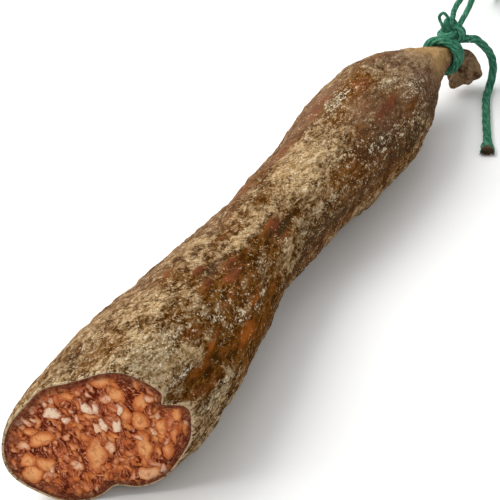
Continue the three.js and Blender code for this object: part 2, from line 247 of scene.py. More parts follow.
# Rubbed crust, and near 180 degrees painted shade of the lower side
RUBBED_AND_SHADE_SPOTS = [
    (-60, 125, 18, 13, 1.0), (-28, 127, 10, 12, 0.9), (-98, 150, 22, 7, 1.3), (-70, 162, 14, 10, 1.3),
    (-46, 160, 13, 8, 1.1), (-98, 123, 9, 5, 0.9), (-91, 138, 10, 5, 1.0), (30, 138, 20, 13, 0.6),
    (55, 126, 9, 6, 1.3), (66, 142, 10, 7, 1.3), (50, 162, 20, 12, 0.6), (-5, 60, 9, 8, 0.8),
    (16, 58, 8, 10, 1.3), (42, 62, 10, 9, 0.8), (30, 56, 18, 8, 0.7), (56, 92, 8, 8, 0.7),
    (-66, 95, 4, 4, 1.1), (-71, 112, 5, 6, 1.1), (-70, 74, 5, 4, 0.8), (-27, 72, 5, 5, 0.8),
    (-42, 87, 6, 5, 0.7), (105, 158, 25, 25, 1.0), (-10, 170, 24, 10, 0.6), (90, 76, 8, 8, 0.5),
    (-20, 230, 40, 25, 0.5), (60, 250, 30, 25, 0.5), (-60, 178, 30, 11, 1.0), (-10, 182, 34, 13, 0.9),
    (40, 178, 26, 12, 0.9), (-30, 140, 30, 10, 0.3), (-44, 122, 14, 8, 0.6), (-104, 152, 16, 8, 0.8),
    (-72, 152, 16, 8, 0.5), (-66, 172, 20, 10, 0.7), (40, 98, 8, 9, 0.8), (-22, 131, 9, 9, 1.2),
    (-78, 134, 9, 8, 0.6), (-12, 94, 6, 6, 0.5), (18, 83, 6, 6, 0.8), (-30, 96, 6, 4, 0.7),
    (-8, 80, 9, 10, 0.6), (18, 66, 8, 6, 0.4), (76, 68, 12, 8, 0.7), (-108, 76, 12, 8, 0.4),
    (44, 118, 16, 8, 0.6), (50, 140, 22, 14, 0.5), (60, 76, 14, 14, 0.6), (22, 162, 24, 9, 0.5),
]
# Where the skin is plain and even
SMOOTH_SPOTS = [
    (-84, 50, 40, 26, 0.8), (-24, 52, 36, 26, 0.8), (34, 46, 36, 22, 0.8), (-30, 192, 60, 12, 0.4),
    (48, 62, 22, 14, 0.6), (56, 130, 26, 26, 0.7), (20, 172, 36, 12, 0.4), (44, 104, 10, 10, 0.5),
    (-24, 130, 9, 7, 0.2), (-60, 104, 10, 5, 0.5),
]
# Where the meat shows red, the fat amber, and the skin almost black, through the casing. The dark spots low
# on the side, from about 150 degrees round to the underside, are painted shade.
RED_SPOTS = [
    (-65, 96, 4, 3.6, 1.7), (-70, 110, 4.5, 3.6, 1.7), (-58, 120, 6, 5, 1.5), (-54, 111, 5, 4, 1.3),
    (-68, 128, 10, 3, 0.8), (-72, 74, 5, 4, 0.9), (-25, 121, 5, 6, 1.8), (-24, 138, 5, 4, 0.9),
    (-27, 72, 5, 5, 0.7), (-44, 85, 6, 4, 0.8), (-42, 116, 5, 4, 0.7), (-98, 124, 8, 5, 0.9),
    (-7, 58, 11, 8, 0.9), (17, 59, 7, 9, 1.0), (42, 64, 9, 10, 0.9), (58, 90, 8, 9, 1.0),
    (48, 107, 5, 6, 0.7), (52, 125, 5.5, 4.5, 1.7), (60, 122, 5, 5, 1.4), (49, 136, 4, 5, 0.7),
    (37, 122, 4, 4, 0.6), (37, 153, 4, 4, 0.7), (88, 76, 10, 8, 0.6), (-119, 156, 5, 5, 0.8),
    (-18, 92, 8, 6, 0.3), (0, 300, 12, 14, 0.8), (-70, 250, 14, 14, 0.8), (-58, 66, 8, 6, 0.5),
    (-86, 64, 7, 6, 0.4), (24, 134, 10, 6, 0.5), (-36, 60, 8, 6, 0.5),
]
AMBER_SPOTS = [
    (-94, 139, 10, 4, 1.9), (-72, 160, 8, 8, 1.7), (-60, 146, 9, 5, 1.4), (-64, 133, 12, 5, 0.5),
    (-46, 157, 8, 7, 0.7), (-109, 146, 7, 5, 1.1), (-113, 160, 7, 4, 0.9), (-56, 172, 12, 9, 0.6),
    (-92, 152, 14, 5, 0.7), (-112, 127, 6, 4, 0.7), (-92, 131, 7, 4, 0.5), (-50, 139, 10, 4, 0.4),
    (67, 141, 7, 5, 0.8), (3, 138, 5, 6, 0.6), (-40, 290, 16, 14, 0.7), (40, 230, 14, 12, 0.6),
    (24, 144, 16, 8, 0.6),
]
# Darker patches of skin high up, and painted shade where the spots lie low on the side and underneath
DARK_AND_SHADE_SPOTS = [
    (-96, 153, 20, 6, 0.9), (-60, 103, 10, 4, 0.5), (-50, 123, 9, 7, 0.6), (-20, 132, 9, 10, 0.8),
    (36, 128, 16, 10, 0.35), (14, 165, 24, 8, 0.4), (-18, 131, 7, 6, 0.8), (38, 148, 14, 10, 0.45),
    (60, 166, 26, 12, 0.8), (0, 171, 30, 13, 0.7), (100, 166, 22, 18, 0.9), (-40, 182, 30, 13, 0.7),
    (-98, 198, 20, 12, 0.9), (-85, 100, 8, 4, 0.4), (116, 138, 9, 6, 1.1), (-118, 172, 9, 10, 0.9),
    (70, 178, 16, 10, 0.8), (36, 140, 12, 10, 0.6), (0, 250, 120, 50, 0.5),
]
# Where the crust is grey-white rather than tan, and where fine white curls of salt stand out
GREY_SPOTS = [
    (-100, 174, 22, 12, 1.4), (-116, 116, 12, 14, 1.0), (46, 74, 7, 9, 1.2), (-12, 81, 5, 4, 1.2),
    (-43, 76, 5, 5, 1.0), (66, 111, 7, 5, 1.2), (10, 150, 14, 8, 1.0), (-10, 152, 9, 7, 1.0),
    (44, 148, 10, 12, 0.9), (45, 120, 5, 5, 1.0), (80, 130, 18, 22, 0.8), (84, 84, 24, 22, 0.8),
    (60, 74, 16, 14, 1.1), (-60, 150, 12, 8, 0.6), (-118, 70, 10, 20, 0.5), (60, 40, 30, 20, 0.4),
]
SALT_SPOTS = [
    (78, 133, 9, 15, 1.2), (62, 152, 12, 7, 0.8), (40, 146, 14, 12, 0.9), (30, 128, 14, 9, 0.6),
    (-102, 114, 16, 13, 0.8), (-60, 146, 13, 8, 0.7), (10, 150, 12, 7, 0.8), (-95, 172, 18, 9, 0.6),
    (-82, 138, 4, 2, 1.3), (-75, 141, 4, 2, 1.3), (-70, 146, 4, 2, 1.3), (-65, 152, 4, 2, 1.3),
    (-59, 156, 5, 2, 1.3), (-50, 146, 7, 2, 1.0), (-82, 125, 4, 4, 1.0), (-45, 130, 5, 5, 1.0),
    (-118, 141, 14, 3, 1.3), (-26, 146, 4, 6, 0.9), (46, 76, 7, 10, 1.1), (102, 125, 7, 7, 1.0),
    (52, 84, 10, 10, 0.6), (36, 88, 8, 8, 0.5), (-75, 128, 9, 9, 0.5), (-12, 82, 5, 4, 0.8),
    (66, 112, 7, 6, 0.9),
]


def size(title, description, millimetres, least=0):
    return bpy.props.FloatProperty(
        name=title, description=description, subtype="DISTANCE", unit="LENGTH",
        default=millimetres * MM, min=least * MM,
    )


class SausageSizes(bpy.types.PropertyGroup):
    """Sizes of the pieces"""

    skin_bumps: size("Skin bumps", "Height of the lumps under the dried skin", 0.7)
    crust: size("Crust", "Height of the dried mould crust", 0.28)
    rim: size("Casing rim", "Width of the casing's edge round the cut", 0.55)
    twine: size("Twine", "Diameter of the tying twine", 2 * TWINE_RADIUS)
    loop_twine: size("Loop twine", "Diameter of the strand of the hanging loop", 2 * LOOP_RADIUS)
    lay: size("Lay", "Length of one full turn of the twine's plies", 26, 1)


def linear(red, green, blue):
    """Screen values from 0 to 255 as linear light."""
    v = np.array([red, green, blue]) / 255
    return tuple(float(c) for c in np.where(v <= 0.04045, v / 12.92, ((v + 0.055) / 1.055) ** 2.4))


def colour(title, description, *screen):
    return bpy.props.FloatVectorProperty(
        name=title, description=description, subtype="COLOR", size=3, min=0, max=1,
        default=linear(*screen),
    )


class SausageColours(bpy.types.PropertyGroup):
    """Colours of the pieces"""

    skin: colour("Skin", "The dried brown casing", 118, 76, 28)
    umber: colour("Umber", "Dark and damp places of the casing", 60, 33, 6)
    dull: colour("Dull skin", "The plain skin of the shoulder", 121, 95, 76)
    shade: colour("Shaded skin", "The darker parts of the plain skin", 84, 58, 42)
    resin: colour("Resin", "Red-brown skin round the amber fat", 108, 62, 22)
    # Painted shade low on the side, and the colour of darker olive patches of skin
    dusk_and_shade: colour("Dusk", "The darkest olive places low on the side", 62, 48, 26)
    dust: colour("Dust", "The darker part of the powdery crust", 142, 112, 70)
    ochre: colour("Ochre", "The sunny part of the powdery crust", 208, 177, 134)
    mould: colour("Mould", "Grey-white mould", 200, 183, 150)
    # Also the colour of the painted glints among the salt specks
    salt: colour("Salt", "White curls and specks of salt", 240, 224, 194)
    bare: colour("Bare red", "Red meat seen through rubbed casing", 120, 61, 37)
    amber: colour("Bare amber", "Amber fat seen through rubbed casing", 158, 86, 28)
    neck: colour("Neck", "The gathered neck", 192, 154, 104)
    tail: colour("Tail", "The crumpled tail beyond the twine", 150, 122, 92)
    edge: colour("Edge", "The casing's cut edge", 214, 188, 150)
    lean: colour("Lean", "Chopped lean meat", 196, 102, 60)
    dark_lean: colour("Dark lean", "The darkest lean meat", 98, 28, 8)
    sinew: colour("Sinew", "Pale strings in the lean meat", 238, 172, 132)
    orange_fat: colour("Stained fat", "Fat stained orange by paprika", 236, 146, 78)
    amber_fat: colour("Amber fat", "Fat stained deeper", 218, 122, 60)
    stain: colour("Stain", "Red oil soaked into the edges of the fat", 186, 88, 42)
    yellow_fat: colour("Yellow fat", "The brightest yellow piece", 246, 182, 108)
    white_fat: colour("White fat", "Fat that stayed pale", 250, 220, 190)
    dried: colour("Dried meat", "Paler strings in the dried ring", 142, 86, 62)
    rind: colour("Rind", "The dried ring next to the casing", 88, 38, 24)
    twine: colour("Twine", "Green twine", 36, 106, 79)
    # Worn pale fibres, and painted highlight streaks along the twine
    twine_pale_and_highlight: colour("Twine light", "Worn fibres of the twine", 100, 166, 136)
    # Painted shade in the grooves between the plies, and darker threads
    twine_groove_shade: colour("Twine dark", "Grooves of the twine", 8, 46, 32)
    soiled: colour("Twine tip", "The soiled cut tip of the twine", 92, 74, 52)


def math_node(operation, swapped=False):
    """A Wire's method for one Math operation. The reflected form has its two sides swapped."""
    def add_node(wire, other):
        first, second = (other, wire) if swapped else (wire, other)
        return wire.finish.node("ShaderNodeMath", {"operation": operation}, {0: first, 1: second})
    return add_node


class Wire:
    """A shader socket that takes part in sums: each operation adds one Math node."""

    def __init__(self, finish, socket):
        self.finish = finish
        self.socket = socket

    __add__ = math_node("ADD")
    __radd__ = math_node("ADD", True)
    __sub__ = math_node("SUBTRACT")
    __rsub__ = math_node("SUBTRACT", True)
    __mul__ = math_node("MULTIPLY")
    __rmul__ = math_node("MULTIPLY", True)


class Finish:
    """One procedural material under construction, round a Principled shader."""

    def __init__(self, name, **constants):
        self.material = bpy.data.materials.new(name)
        self.material.use_nodes = True
        self.tree = self.material.node_tree
        self.shader = self.tree.nodes["Principled BSDF"]
        for socket, value in constants.items():
            self.shader.inputs[socket.replace("_", " ")].default_value = value

    def node(self, kind, settings=None, inputs=None, output=0):
        """Adds a node: its settings first, then the values or wires of its sockets."""
        made = self.tree.nodes.new(kind)
        for key, value in (settings or {}).items():
            setattr(made, key, value)
        for key, value in (inputs or {}).items():
            self.feed(made.inputs[key], value)
        return Wire(self, made.outputs[output])

    def feed(self, socket, value):
        if isinstance(value, Wire):
            self.tree.links.new(value.socket, socket)
        elif socket.type == "RGBA":
            socket.default_value = (*value[:3], 1)
        else:
            socket.default_value = value

    def put(self, **wires):
        """Feeds the shader's own sockets."""
        for key, value in wires.items():
            self.feed(self.shader.inputs[key.replace("_", " ")], value)

    def place(self, stretch=(1, 1, 1), turn=0.0):
        """The piece's own coordinates in metres, turned about Z and drawn out by the stretch."""
        spot = self.node("ShaderNodeTexCoord", output="Object")
        inputs = {"Vector": spot, "Rotation": (0, 0, turn), "Scale": stretch}
        return self.node("ShaderNodeMapping", {"vector_type": "TEXTURE"}, inputs)

    def grain(self, size_mm, where, detail=3.0, rough=0.6, warp=0.0):
        """Noise with features of about size_mm."""
        return self.noise(where, 1 / (size_mm * MM), detail, rough, warp)

    def noise(self, where, scale, detail, rough, warp=0.0):
        return self.node("ShaderNodeTexNoise", inputs={
            "Vector": where, "Scale": scale, "Detail": detail, "Roughness": rough, "Distortion": warp,
        })

    def value(self, name):
        return self.node("ShaderNodeAttribute", {"attribute_name": name}, output="Fac")

    def vector(self, name):
        return self.node("ShaderNodeAttribute", {"attribute_name": name}, output="Vector")

    def step(self, value, low, high):
        """0 at low, 1 at high, smooth between."""
        return self.node("ShaderNodeMapRange", {"interpolation_type": "SMOOTHSTEP"},
                         {"Value": value, "From Min": low, "From Max": high})

    def blend(self, factor, first, second):
        """The first colour at factor 0, the second at 1."""
        return self.node("ShaderNodeMix", {"data_type": "RGBA"}, {0: factor, 6: first, 7: second}, 2)

    def ramp(self, value, low, high, first, second):
        """The first colour where the value is low, the second where it is high."""
        return self.blend(self.step(value, low, high), first, second)

    def bumps(self, height, distance_mm):
        """Shades the surface as if the height, times the distance, stood on it."""
        inputs = {"Distance": distance_mm * MM, "Height": height}
        self.put(Normal=self.node("ShaderNodeBump", inputs=inputs))


def add_piece(name, points, faces, finish, node, values):
    """Puts points in millimetres and faces into a mesh, with float values for each point, and
    stands it in for the CAD node named."""
    mesh = bpy.data.meshes.new(name)
    faces = np.asarray(faces)
    corners = faces.shape[1]
    mesh.vertices.add(len(points))
    mesh.vertices.foreach_set("co", (np.asarray(points) * MM).astype(np.float32).ravel())
    mesh.loops.add(faces.size)
    mesh.loops.foreach_set("vertex_index", faces.astype(np.int32).ravel())
    mesh.polygons.add(len(faces))
    mesh.polygons.foreach_set("loop_start", np.arange(0, faces.size, corners, dtype=np.int32))
    mesh.update(calc_edges=True)
    mesh.polygons.foreach_set("use_smooth", np.ones(len(faces), dtype=bool))
    for key, array in values.items():
        array = np.asarray(array, dtype=np.float32)
        kind, field = ("FLOAT", "value") if array.ndim == 1 else ("FLOAT_VECTOR", "vector")
        mesh.attributes.new(key, kind, "POINT").data.foreach_set(field, array.ravel())
    mesh.validate()
    mesh.materials.append(finish.material)
    piece = bpy.data.objects.new(name, mesh)
    bpy.context.scene.collection.objects.link(piece)
    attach(piece, "root")
    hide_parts(node)
    return piece


def tube_faces(rows, columns, closed=False):
    """Quads of a grid that closes round its columns, and over its rows too if closed."""
    last = rows if closed else rows - 1
    i, j = np.meshgrid(np.arange(last), np.arange(columns), indexing="ij")
    far, turn = (i + 1) % rows, (j + 1) % columns
    corners = [i * columns + j, i * columns + turn, far * columns + turn, far * columns + j]
    return np.stack(corners, -1).reshape(-1, 4)


def pole_faces(pole, ring, outwards):
    """Quads that close a ring of an even count to its pole: the pole, then three ring points."""
    a, b, c = ring[0::2], ring[1::2], np.roll(ring, -2)[0::2]
    quads = np.stack([np.full(len(a), pole), a, b, c], -1)
    return quads if outwards else quads[:, ::-1]


def closed_surface(grid, first_pole, last_pole):
    """Points and quads of a closed form: a grid of rings with a pole at each end."""
    rows, columns = grid.shape[:2]
    points = np.concatenate([grid.reshape(-1, 3), [first_pole, last_pole]])
    start, end = rows * columns, rows * columns + 1
    ring = np.arange(columns)
    faces = np.concatenate([
        tube_faces(rows, columns),
        pole_faces(start, ring, False),
        pole_faces(end, ring + (rows - 1) * columns, True),
    ])
    return points, faces


def even_rings(first, last, count):
    """Ring positions that are evenly spaced along the centre line."""
    k = np.linspace(first, last, 2000)
    steps = np.linalg.norm(np.diff(centre_line(k), axis=0), axis=1)
    length = np.concatenate([[0], np.cumsum(steps)])
    return np.interp(np.linspace(0, length[-1], count), length, k)


# The casing's grid
SKIN_ROWS = 380
SKIN_COLUMNS = 230
INNER_ROWS = 36
RIM_ROWS = 3
# How far the rim bulges out of the cut, in millimetres, like a torn paper edge
RIM_BULGE = 0.16
# How far the torn pale edge runs back from the cut, in rings
TORN_REACH = 0.05
# The deepest pit in the skin, in millimetres; it stays within the casing's thickness
DEEPEST_PIT = -0.5
# Where along it the skin turns plain on the shoulder and pale at the neck, and over what length
SHOULDER_START = 62
SHOULDER_LENGTH = 30
NECK_START = 95
NECK_LENGTH = 15
# Where the gathered tail beyond the twine starts to look crumpled, in rings past the tie
TAIL_START = 0.6
# How far past its last ring the inner wall comes to a point, in millimetres
INNER_POINT = 2
# Rings that close the tail: share of the last ring's width, and millimetres beyond it
MOUTH_RINGS = np.array([(0.97, 1.1), (0.82, 2.1), (0.46, 2.7)])


def inner_inset(k, rim):
    """How far the inner wall lies below the skin: the rim's width at the cut, growing to the wall."""
    return rim + (CASING_WALL - rim) * smoothstep(k / 0.25)


def skin_values(k, a):
    """How the skin looks at each point of the unrolled skin: bell-shaped spots, drawn at places
    that noise has pushed about, so that their edges are ragged, plus broad noise of its own."""
    x = along_rings(k, RING_X) + 0 * a
    ragged = x + 3 * skin_octaves(x, a, 8, 11), a + 0.11 * skin_octaves(x, a, 8, 21)
    near = x + 1.5 * skin_octaves(x, a, 8, 12), a + 0.05 * skin_octaves(x, a, 8, 22)
    red = patches(*near, RED_SPOTS)
    crust = patches(*ragged, CRUST_SPOTS) - 1.1 * patches(*ragged, RUBBED_AND_SHADE_SPOTS) - 0.5 * red
    plain = smoothstep((x - SHOULDER_START) / SHOULDER_LENGTH)
    smooth = np.clip(plain + patches(*near, SMOOTH_SPOTS), 0, 1)
    grey = patches(*ragged, GREY_SPOTS) + 0.25 * skin_octaves(x, a, 15, 51, 3, 1.4)
    upper = smoothstep((np.cos(a - math.radians(92)) + 0.1) / 0.9)
    beyond = k - TIE_RING - TAIL_START
    return {
        "crust": crust + 0.4 * skin_octaves(x, a, 13, 31, 3, 1.4) * (1 - 0.5 * smooth),
        "red": red,
        "amber": patches(*near, AMBER_SPOTS),
        # darker patches of skin, and painted shade low on the side
        "dark": patches(*ragged, DARK_AND_SHADE_SPOTS) + 0.2 * skin_octaves(x, a, 18, 41, 2),
        "grey": grey,
        "salt": patches(*ragged, SALT_SPOTS),
        "smooth": smooth,
        "neck": smoothstep((x - NECK_START) / NECK_LENGTH) * upper * (1 - smoothstep(beyond)),
        "tail": smoothstep(beyond / TAIL_START) + 0 * a,
    }


def skin_lift(k, a, values, bumps, crust):
    """Height of the small relief in millimetres: lumps, the raised meat and fat under the skin,
    lengthwise wrinkles, the raised crust, and crumples in the tail. It dies away at the cut's edge."""
    x = along_rings(k, RING_X) + 0 * a
    lumps = skin_octaves(x, a, 13, 61, 2) * 0.6 + skin_noise(x, a, 5.5, 64) * 0.5
    lumps = lumps + skin_noise(x, a, 3, 65) * 0.26 + 0.75 * np.clip(values["red"] + values["amber"], 0, 1)
    ridges = 1 - 2 * np.abs(skin_octaves(x, a, 5, 71, 2, 3.0))
    fine = skin_octaves(x, a, 2.4, 81, 2)
    cover = smoothstep((values["crust"] + 0.9 * fine + 0.3) / 1.2)
    thin = smoothstep((along_rings(k, RINGS[:, 3]) - 3) / 12)
    rough = 1.4 * cover - 0.7 + 0.5 * ridges
    lift = bumps * lumps * (0.4 + 0.6 * thin) + crust * rough * (0.25 + 0.75 * thin)
    lift = np.maximum(lift, DEEPEST_PIT)
    tail = smoothstep(k - TIE_RING - 1)
    crumple = np.abs(skin_noise(k * 9, a, 9, 91)) * 1.7 - 0.6 + 0.45 * skin_noise(k * 9, a, 4, 92)
    lift = lift + tail * (0.35 * np.sin(3 * a + 1.3 + 2.2 * k) + 0.8 * crumple)
    return lift * smoothstep(k / 0.12 + 0.15)


def skin_finish(colours):
    """Dried casing. Its brown skin is umber in the pits, plain on the shoulder, red or amber where meat or
    fat shows through, and dusky low on the side, where the darkening is partly darker skin and partly
    painted shade. A powdery tan and grey crust lies on it in feathery streaks that follow the crust value,
    thinned low on the side as painted shade, with curls of salt on top and pale specks that are partly salt
    and partly painted glints. The neck and the tail have colours of their own, the tail's pale and dark
    patches partly painted light and shade on its crumples, and the edge at the cut is torn and pale."""
    f = Finish("dried_casing", Specular_IOR_Level=0, Coat_Roughness=0.25)
    where = f.place()
    broad = f.grain(6, where, 3, 0.55, 0.5) - 0.5
    streak = f.grain(2.3, f.place((2.4, 1, 1), 0.3), 5, 0.62, 0.9) - 0.5
    smear = f.grain(1.5, f.place((2.0, 1, 1), -0.2), 4, 0.65, 0.5) - 0.5
    fine = f.grain(0.8, where, 2, 0.7) - 0.5
    crust, red, amber, dark = (f.value(n) for n in ("crust", "red", "amber", "dark"))
    grey, salt, smooth, neck = (f.value(n) for n in ("grey", "salt", "smooth", "neck"))
    tail, rim = f.value("tail"), f.value("rim")
    calm = 1 - smooth * 0.5
    # the bare skin; where the dark value is high it turns umber and olive-dark, partly as painted shade low
    # on the side
    pits = streak * 1.4 + smear * 1.1 * calm + fine * 1.3 * calm + broad * 0.6 - dark * 0.25
    brown = f.ramp(pits, -0.34, 0.12, colours.umber, colours.skin)
    plain = f.ramp(streak * 0.9 + broad * 1.4, -0.26, 0.16, colours.shade, colours.dull)
    brown = f.blend(smooth * 0.75, brown, plain)
    bared = f.ramp(streak + smear, -0.26, 0.08, colours.shade, colours.bare)
    brown = f.blend(f.step(red + broad * 1.6 + streak * 1.6, 0.1, 1.5) * 0.8, brown, bared)
    glow = amber + broad * 0.9 + streak * 0.6
    seen = f.step(glow, 0.2, 0.8)
    resin = f.ramp(streak + smear * 0.5, -0.26, 0.06, colours.umber, colours.resin)
    brown = f.blend(seen * 0.85, brown, resin)
    brown = f.blend(f.step(glow + smear * 1.2, 0.5, 1.9) * 0.95, brown, colours.amber)
    # painted shade low on the side, and darker olive patches, where the dark value is high
    brown = f.blend(f.step(dark + streak * 1.6, 0.4, 1.3) * 0.6, brown, colours.dusk_and_shade)
    # the powdery crust
    rough = broad * 1.6 + streak * 2.2 + smear * 1.9 * calm + fine * 1.4 * calm
    cover = f.step(crust * 0.66 + rough, -0.42, 0.62)
    sunny = smear * 1.6 + fine * 1.1 * calm + broad * 0.5
    tan = f.ramp(sunny, -0.28, 0.28, colours.dust, colours.ochre)
    chalk = f.ramp(fine + smear, -0.16, 0.2, colours.dust, colours.mould)
    tan = f.blend(f.step(grey + streak * 1.6, 0.25, 1.0) * 0.8, tan, chalk)
    tone = f.blend(cover * (0.92 - smooth * 0.45), brown, tan)
    tone = f.blend(smooth * 0.12, tone, colours.dull)
    # curls of salt, and specks that are partly salt and partly painted glints of the moist skin
    curl = f.grain(3.1, where, 2, 0.5, 1.3) - 0.5
    flakes = f.step(salt * 0.5 + streak * 2.4 + smear * 2.4, 0.42, 0.7)
    curls = (1 - f.step(curl * curl, 0.0006, 0.0028)) * flakes
    glint = f.grain(0.62, where, 1, 0.5) - 0.5
    sown = glint + smear * 0.35 + crust * 0.02 + salt * 0.08 - seen * 0.12 - red * 0.05
    specks = f.step(sown, 0.15, 0.225) * (1 - neck) * calm
    white = curls + specks * (1 - curls)
    tone = f.blend(white * 0.88, tone, colours.salt)
    # the neck, the tail and the torn edge
    neck_tone = f.ramp(broad + streak, -0.25, 0.15, colours.dust, colours.neck)
    tone = f.blend(neck * 0.85, tone, neck_tone)
    # the tail's pale and dark patches stand partly for painted light and shade on its crumples, partly for
    # its own mottled colour
    tail_tone = f.ramp(smear + broad * 1.6 + fine, -0.28, 0.2, colours.shade, colours.tail)
    tone = f.blend(tail * 0.85, tone, tail_tone)
    torn = f.ramp(fine * 1.4 + smear + rim * 0.4, 0.05, 0.35, colours.dust, colours.edge)
    tone = f.blend(f.step(rim + fine * 2.4 + smear * 2.4, 0.35, 0.85) * 0.9, tone, torn)
    f.put(Base_Color=tone, Roughness=0.45 + cover * 0.42, Coat_Weight=specks * 0.3)
    grit = smear * 0.6 + fine * 1.3 * (0.3 + cover)
    f.bumps(cover * 0.6 + streak * 0.8 + grit * calm + white * 0.4, 0.6)
    return f


def tail_mouth(tail):
    """Rings that close the tail beyond its last ring, each smaller and farther out, and the pole."""
    middle = tail.mean(0)
    _, tangent, _, _ = section(np.array([LAST_RING - 0.001]))
    share, beyond = MOUTH_RINGS[:, :1, None], MOUTH_RINGS[:, 1:, None]
    return middle + (tail - middle) * share + tangent[0] * beyond, middle + tangent[0] * MOUTH_RINGS[-1, 1]


class SAUSAGE_OT_casing(bpy.types.Operator):
    """Builds the dried casing with its gathered tail"""

    bl_idname = "sausage.casing"
    bl_label = "Build casing"

    def execute(self, context):
        sizes, colours = context.scene.sausage_sizes, context.scene.sausage_colours
        rim = sizes.rim / MM
        a = np.linspace(0, TURN, SKIN_COLUMNS, endpoint=False)[None, :]
        outer_k = even_rings(0, LAST_RING, SKIN_ROWS)[:, None]
        values = skin_values(outer_k, a)
        lift = skin_lift(outer_k, a, values, sizes.skin_bumps / MM, sizes.crust / MM)
        outer = skin(outer_k, a, 0.0, lift)
        inner_k = even_rings(0, MEAT_END_RING, INNER_ROWS)[::-1, None]
        inner = skin(inner_k, a, inner_inset(inner_k, rim) + 0 * a)
        across = np.linspace(1, 0, RIM_ROWS + 2)[1:-1, None]
        edge = skin(np.zeros((RIM_ROWS, 1)), a, rim * across + 0 * a, lift[:1])
        edge[..., 0] -= RIM_BULGE * np.sin(np.pi * across)
        mouth, mouth_pole = tail_mouth(outer[-1])
        inner_pole = inner[0].mean(0) + INNER_POINT * ALONG
        points, faces = closed_surface(np.concatenate([inner, edge, outer, mouth]), inner_pole, mouth_pole)
        # the values of the outer rows go on over the rows before and after them, and 0 at the poles
        before, after = len(inner) + len(edge), len(mouth)
        full = {}
        for key, array in values.items():
            array = np.broadcast_to(array, outer.shape[:2])
            rows = [np.repeat(array[:1], before, 0), array, np.repeat(array[-1:], after, 0)]
            full[key] = np.append(np.concatenate(rows), [0, 0])
        torn = 0.7 * (1 - smoothstep((outer_k[:, 0] - 0.02) / TORN_REACH))
        rows = [np.ones(len(inner)), np.full(len(edge), 0.9), torn, np.zeros(after)]
        full["rim"] = np.append(np.repeat(np.concatenate(rows), SKIN_COLUMNS), [0, 0])
        add_piece("casing_skin", points, faces, skin_finish(colours), "casing", values=full)
        return {"FINISHED"}


# The camera, in metres and degrees
CAMERA_TARGET = np.array([-21.5, 3.2, 21]) * MM
CAMERA_ELEVATION = math.radians(38)
CAMERA_HEADING = math.radians(28.4)
CAMERA_DISTANCE = 0.6
CAMERA_LENS = 129.6
CAMERA_SENSOR = 36

# Pieces of fat that show best, read off the photo as ovals: kind, place from the left and from the top,
# half width, half height and tilt in degrees. They are in pixels of the photo's lower part, enlarged.
PHOTO_WIDTH = 500
ENLARGED = 6
ENLARGED_TOP = 360
FAT_OVALS = [
    ("white", 295, 330, 45, 35, 0),
    ("white", 385, 372, 30, 22, 0),
    ("white", 505, 285, 55, 25, -45),
    ("white", 575, 300, 20, 30, 0),
    ("white", 712, 305, 20, 35, 0),
    ("white", 703, 400, 30, 50, 0),
    ("white", 612, 385, 25, 45, 30),
    ("yellow", 580, 410, 45, 25, -30),
    ("peach", 645, 225, 45, 30, 0),
    ("peach", 890, 240, 35, 25, 0),
    ("peach", 665, 530, 25, 40, 0),
    ("peach", 445, 635, 30, 25, 0),
    ("orange", 240, 475, 65, 45, 15),
    ("orange", 165, 610, 55, 45, 0),
    ("orange", 285, 625, 60, 35, -30),
    ("orange", 195, 690, 60, 50, 0),
    ("orange", 590, 560, 55, 90, 0),
    ("orange", 870, 520, 45, 85, 15),
    ("orange", 700, 200, 60, 40, -40),
    ("orange", 770, 335, 35, 45, 0),
    ("orange", 850, 250, 40, 50, 0),
    ("orange", 850, 370, 45, 60, 45),
    ("orange", 970, 410, 35, 60, 10),
    ("orange", 1040, 440, 20, 50, 0),
    ("peach", 470, 640, 40, 25, 0),
    ("orange", 180, 430, 40, 25, 0),
    ("orange", 410, 215, 40, 25, -20),
    ("orange", 1060, 330, 30, 50, 0),
    ("orange", 1000, 540, 30, 50, 0),
    ("orange", 620, 130, 60, 35, 0),
    ("peach", 140, 510, 35, 25, 0),
    ("orange", 560, 690, 30, 20, 0),
    ("orange", 720, 650, 25, 20, 0),
]
# The tan piece was set on the cut itself: kind, place across the cut (left is positive) and up from
# the middle of it, half lengths and tilt. Its number keeps the order of the random tones.
TAN_PIECE = ("tan", -15.5, -15.6, 4.2, 2.3, 6)
TAN_NUMBER = 28
# How pale each kind of fat is, and how far it leans to yellow
FAT_TONES = {
    "white": (1.0, 0.0),
    "yellow": (0.62, 1.0),
    "peach": (0.6, 0.2),
    "orange": (0.12, 0.3),
    "tan": (0.35, 0.9),
}
# How much fuller than read the pieces are, along and across
SHOWN_SWELL = (1.18, 1.06)
# The smaller pieces between them: how far from the middle they may lie, half widths, how many times
# longer than wide, the tilt in degrees and how much it varies, the least gap between two, how many,
# out of how many tries, and the share of fat among them
LOOSE_FIELD = np.array([28, 24])
LOOSE_WIDTHS = (0.5, 1.15)
LOOSE_STRETCH = (1.4, 3.4)
LOOSE_TILT = (66, 16)
LOOSE_GAP = 1.15
LOOSE_PIECES = 420
LOOSE_TRIES = 6000
FAT_SHARE = 0.6
# Power of the pieces' outlines: 2 is an oval, 1 a diamond
POINTED = 1.75
# Which way the strands of lean meat run, in degrees
STRAND_TILT = 62
# Where the dried ring next to the casing is wide, as spots with 0 for the place along
DRIED_SPOTS = [(0, 50, 1, 45, 1.8), (0, 262, 1, 35, 1.4), (0, 150, 1, 16, 0.8)]
DRIED_WIDTH = 1.7
# The filling's grid, its gaps in millimetres to the rim and to the inner wall, and how far past its
# last ring it comes to a point
FACE_CELLS = 200
MEAT_ROWS = 36
RIM_GAP = 0.08
WALL_GAP = 0.12
MEAT_POINT = 1.2


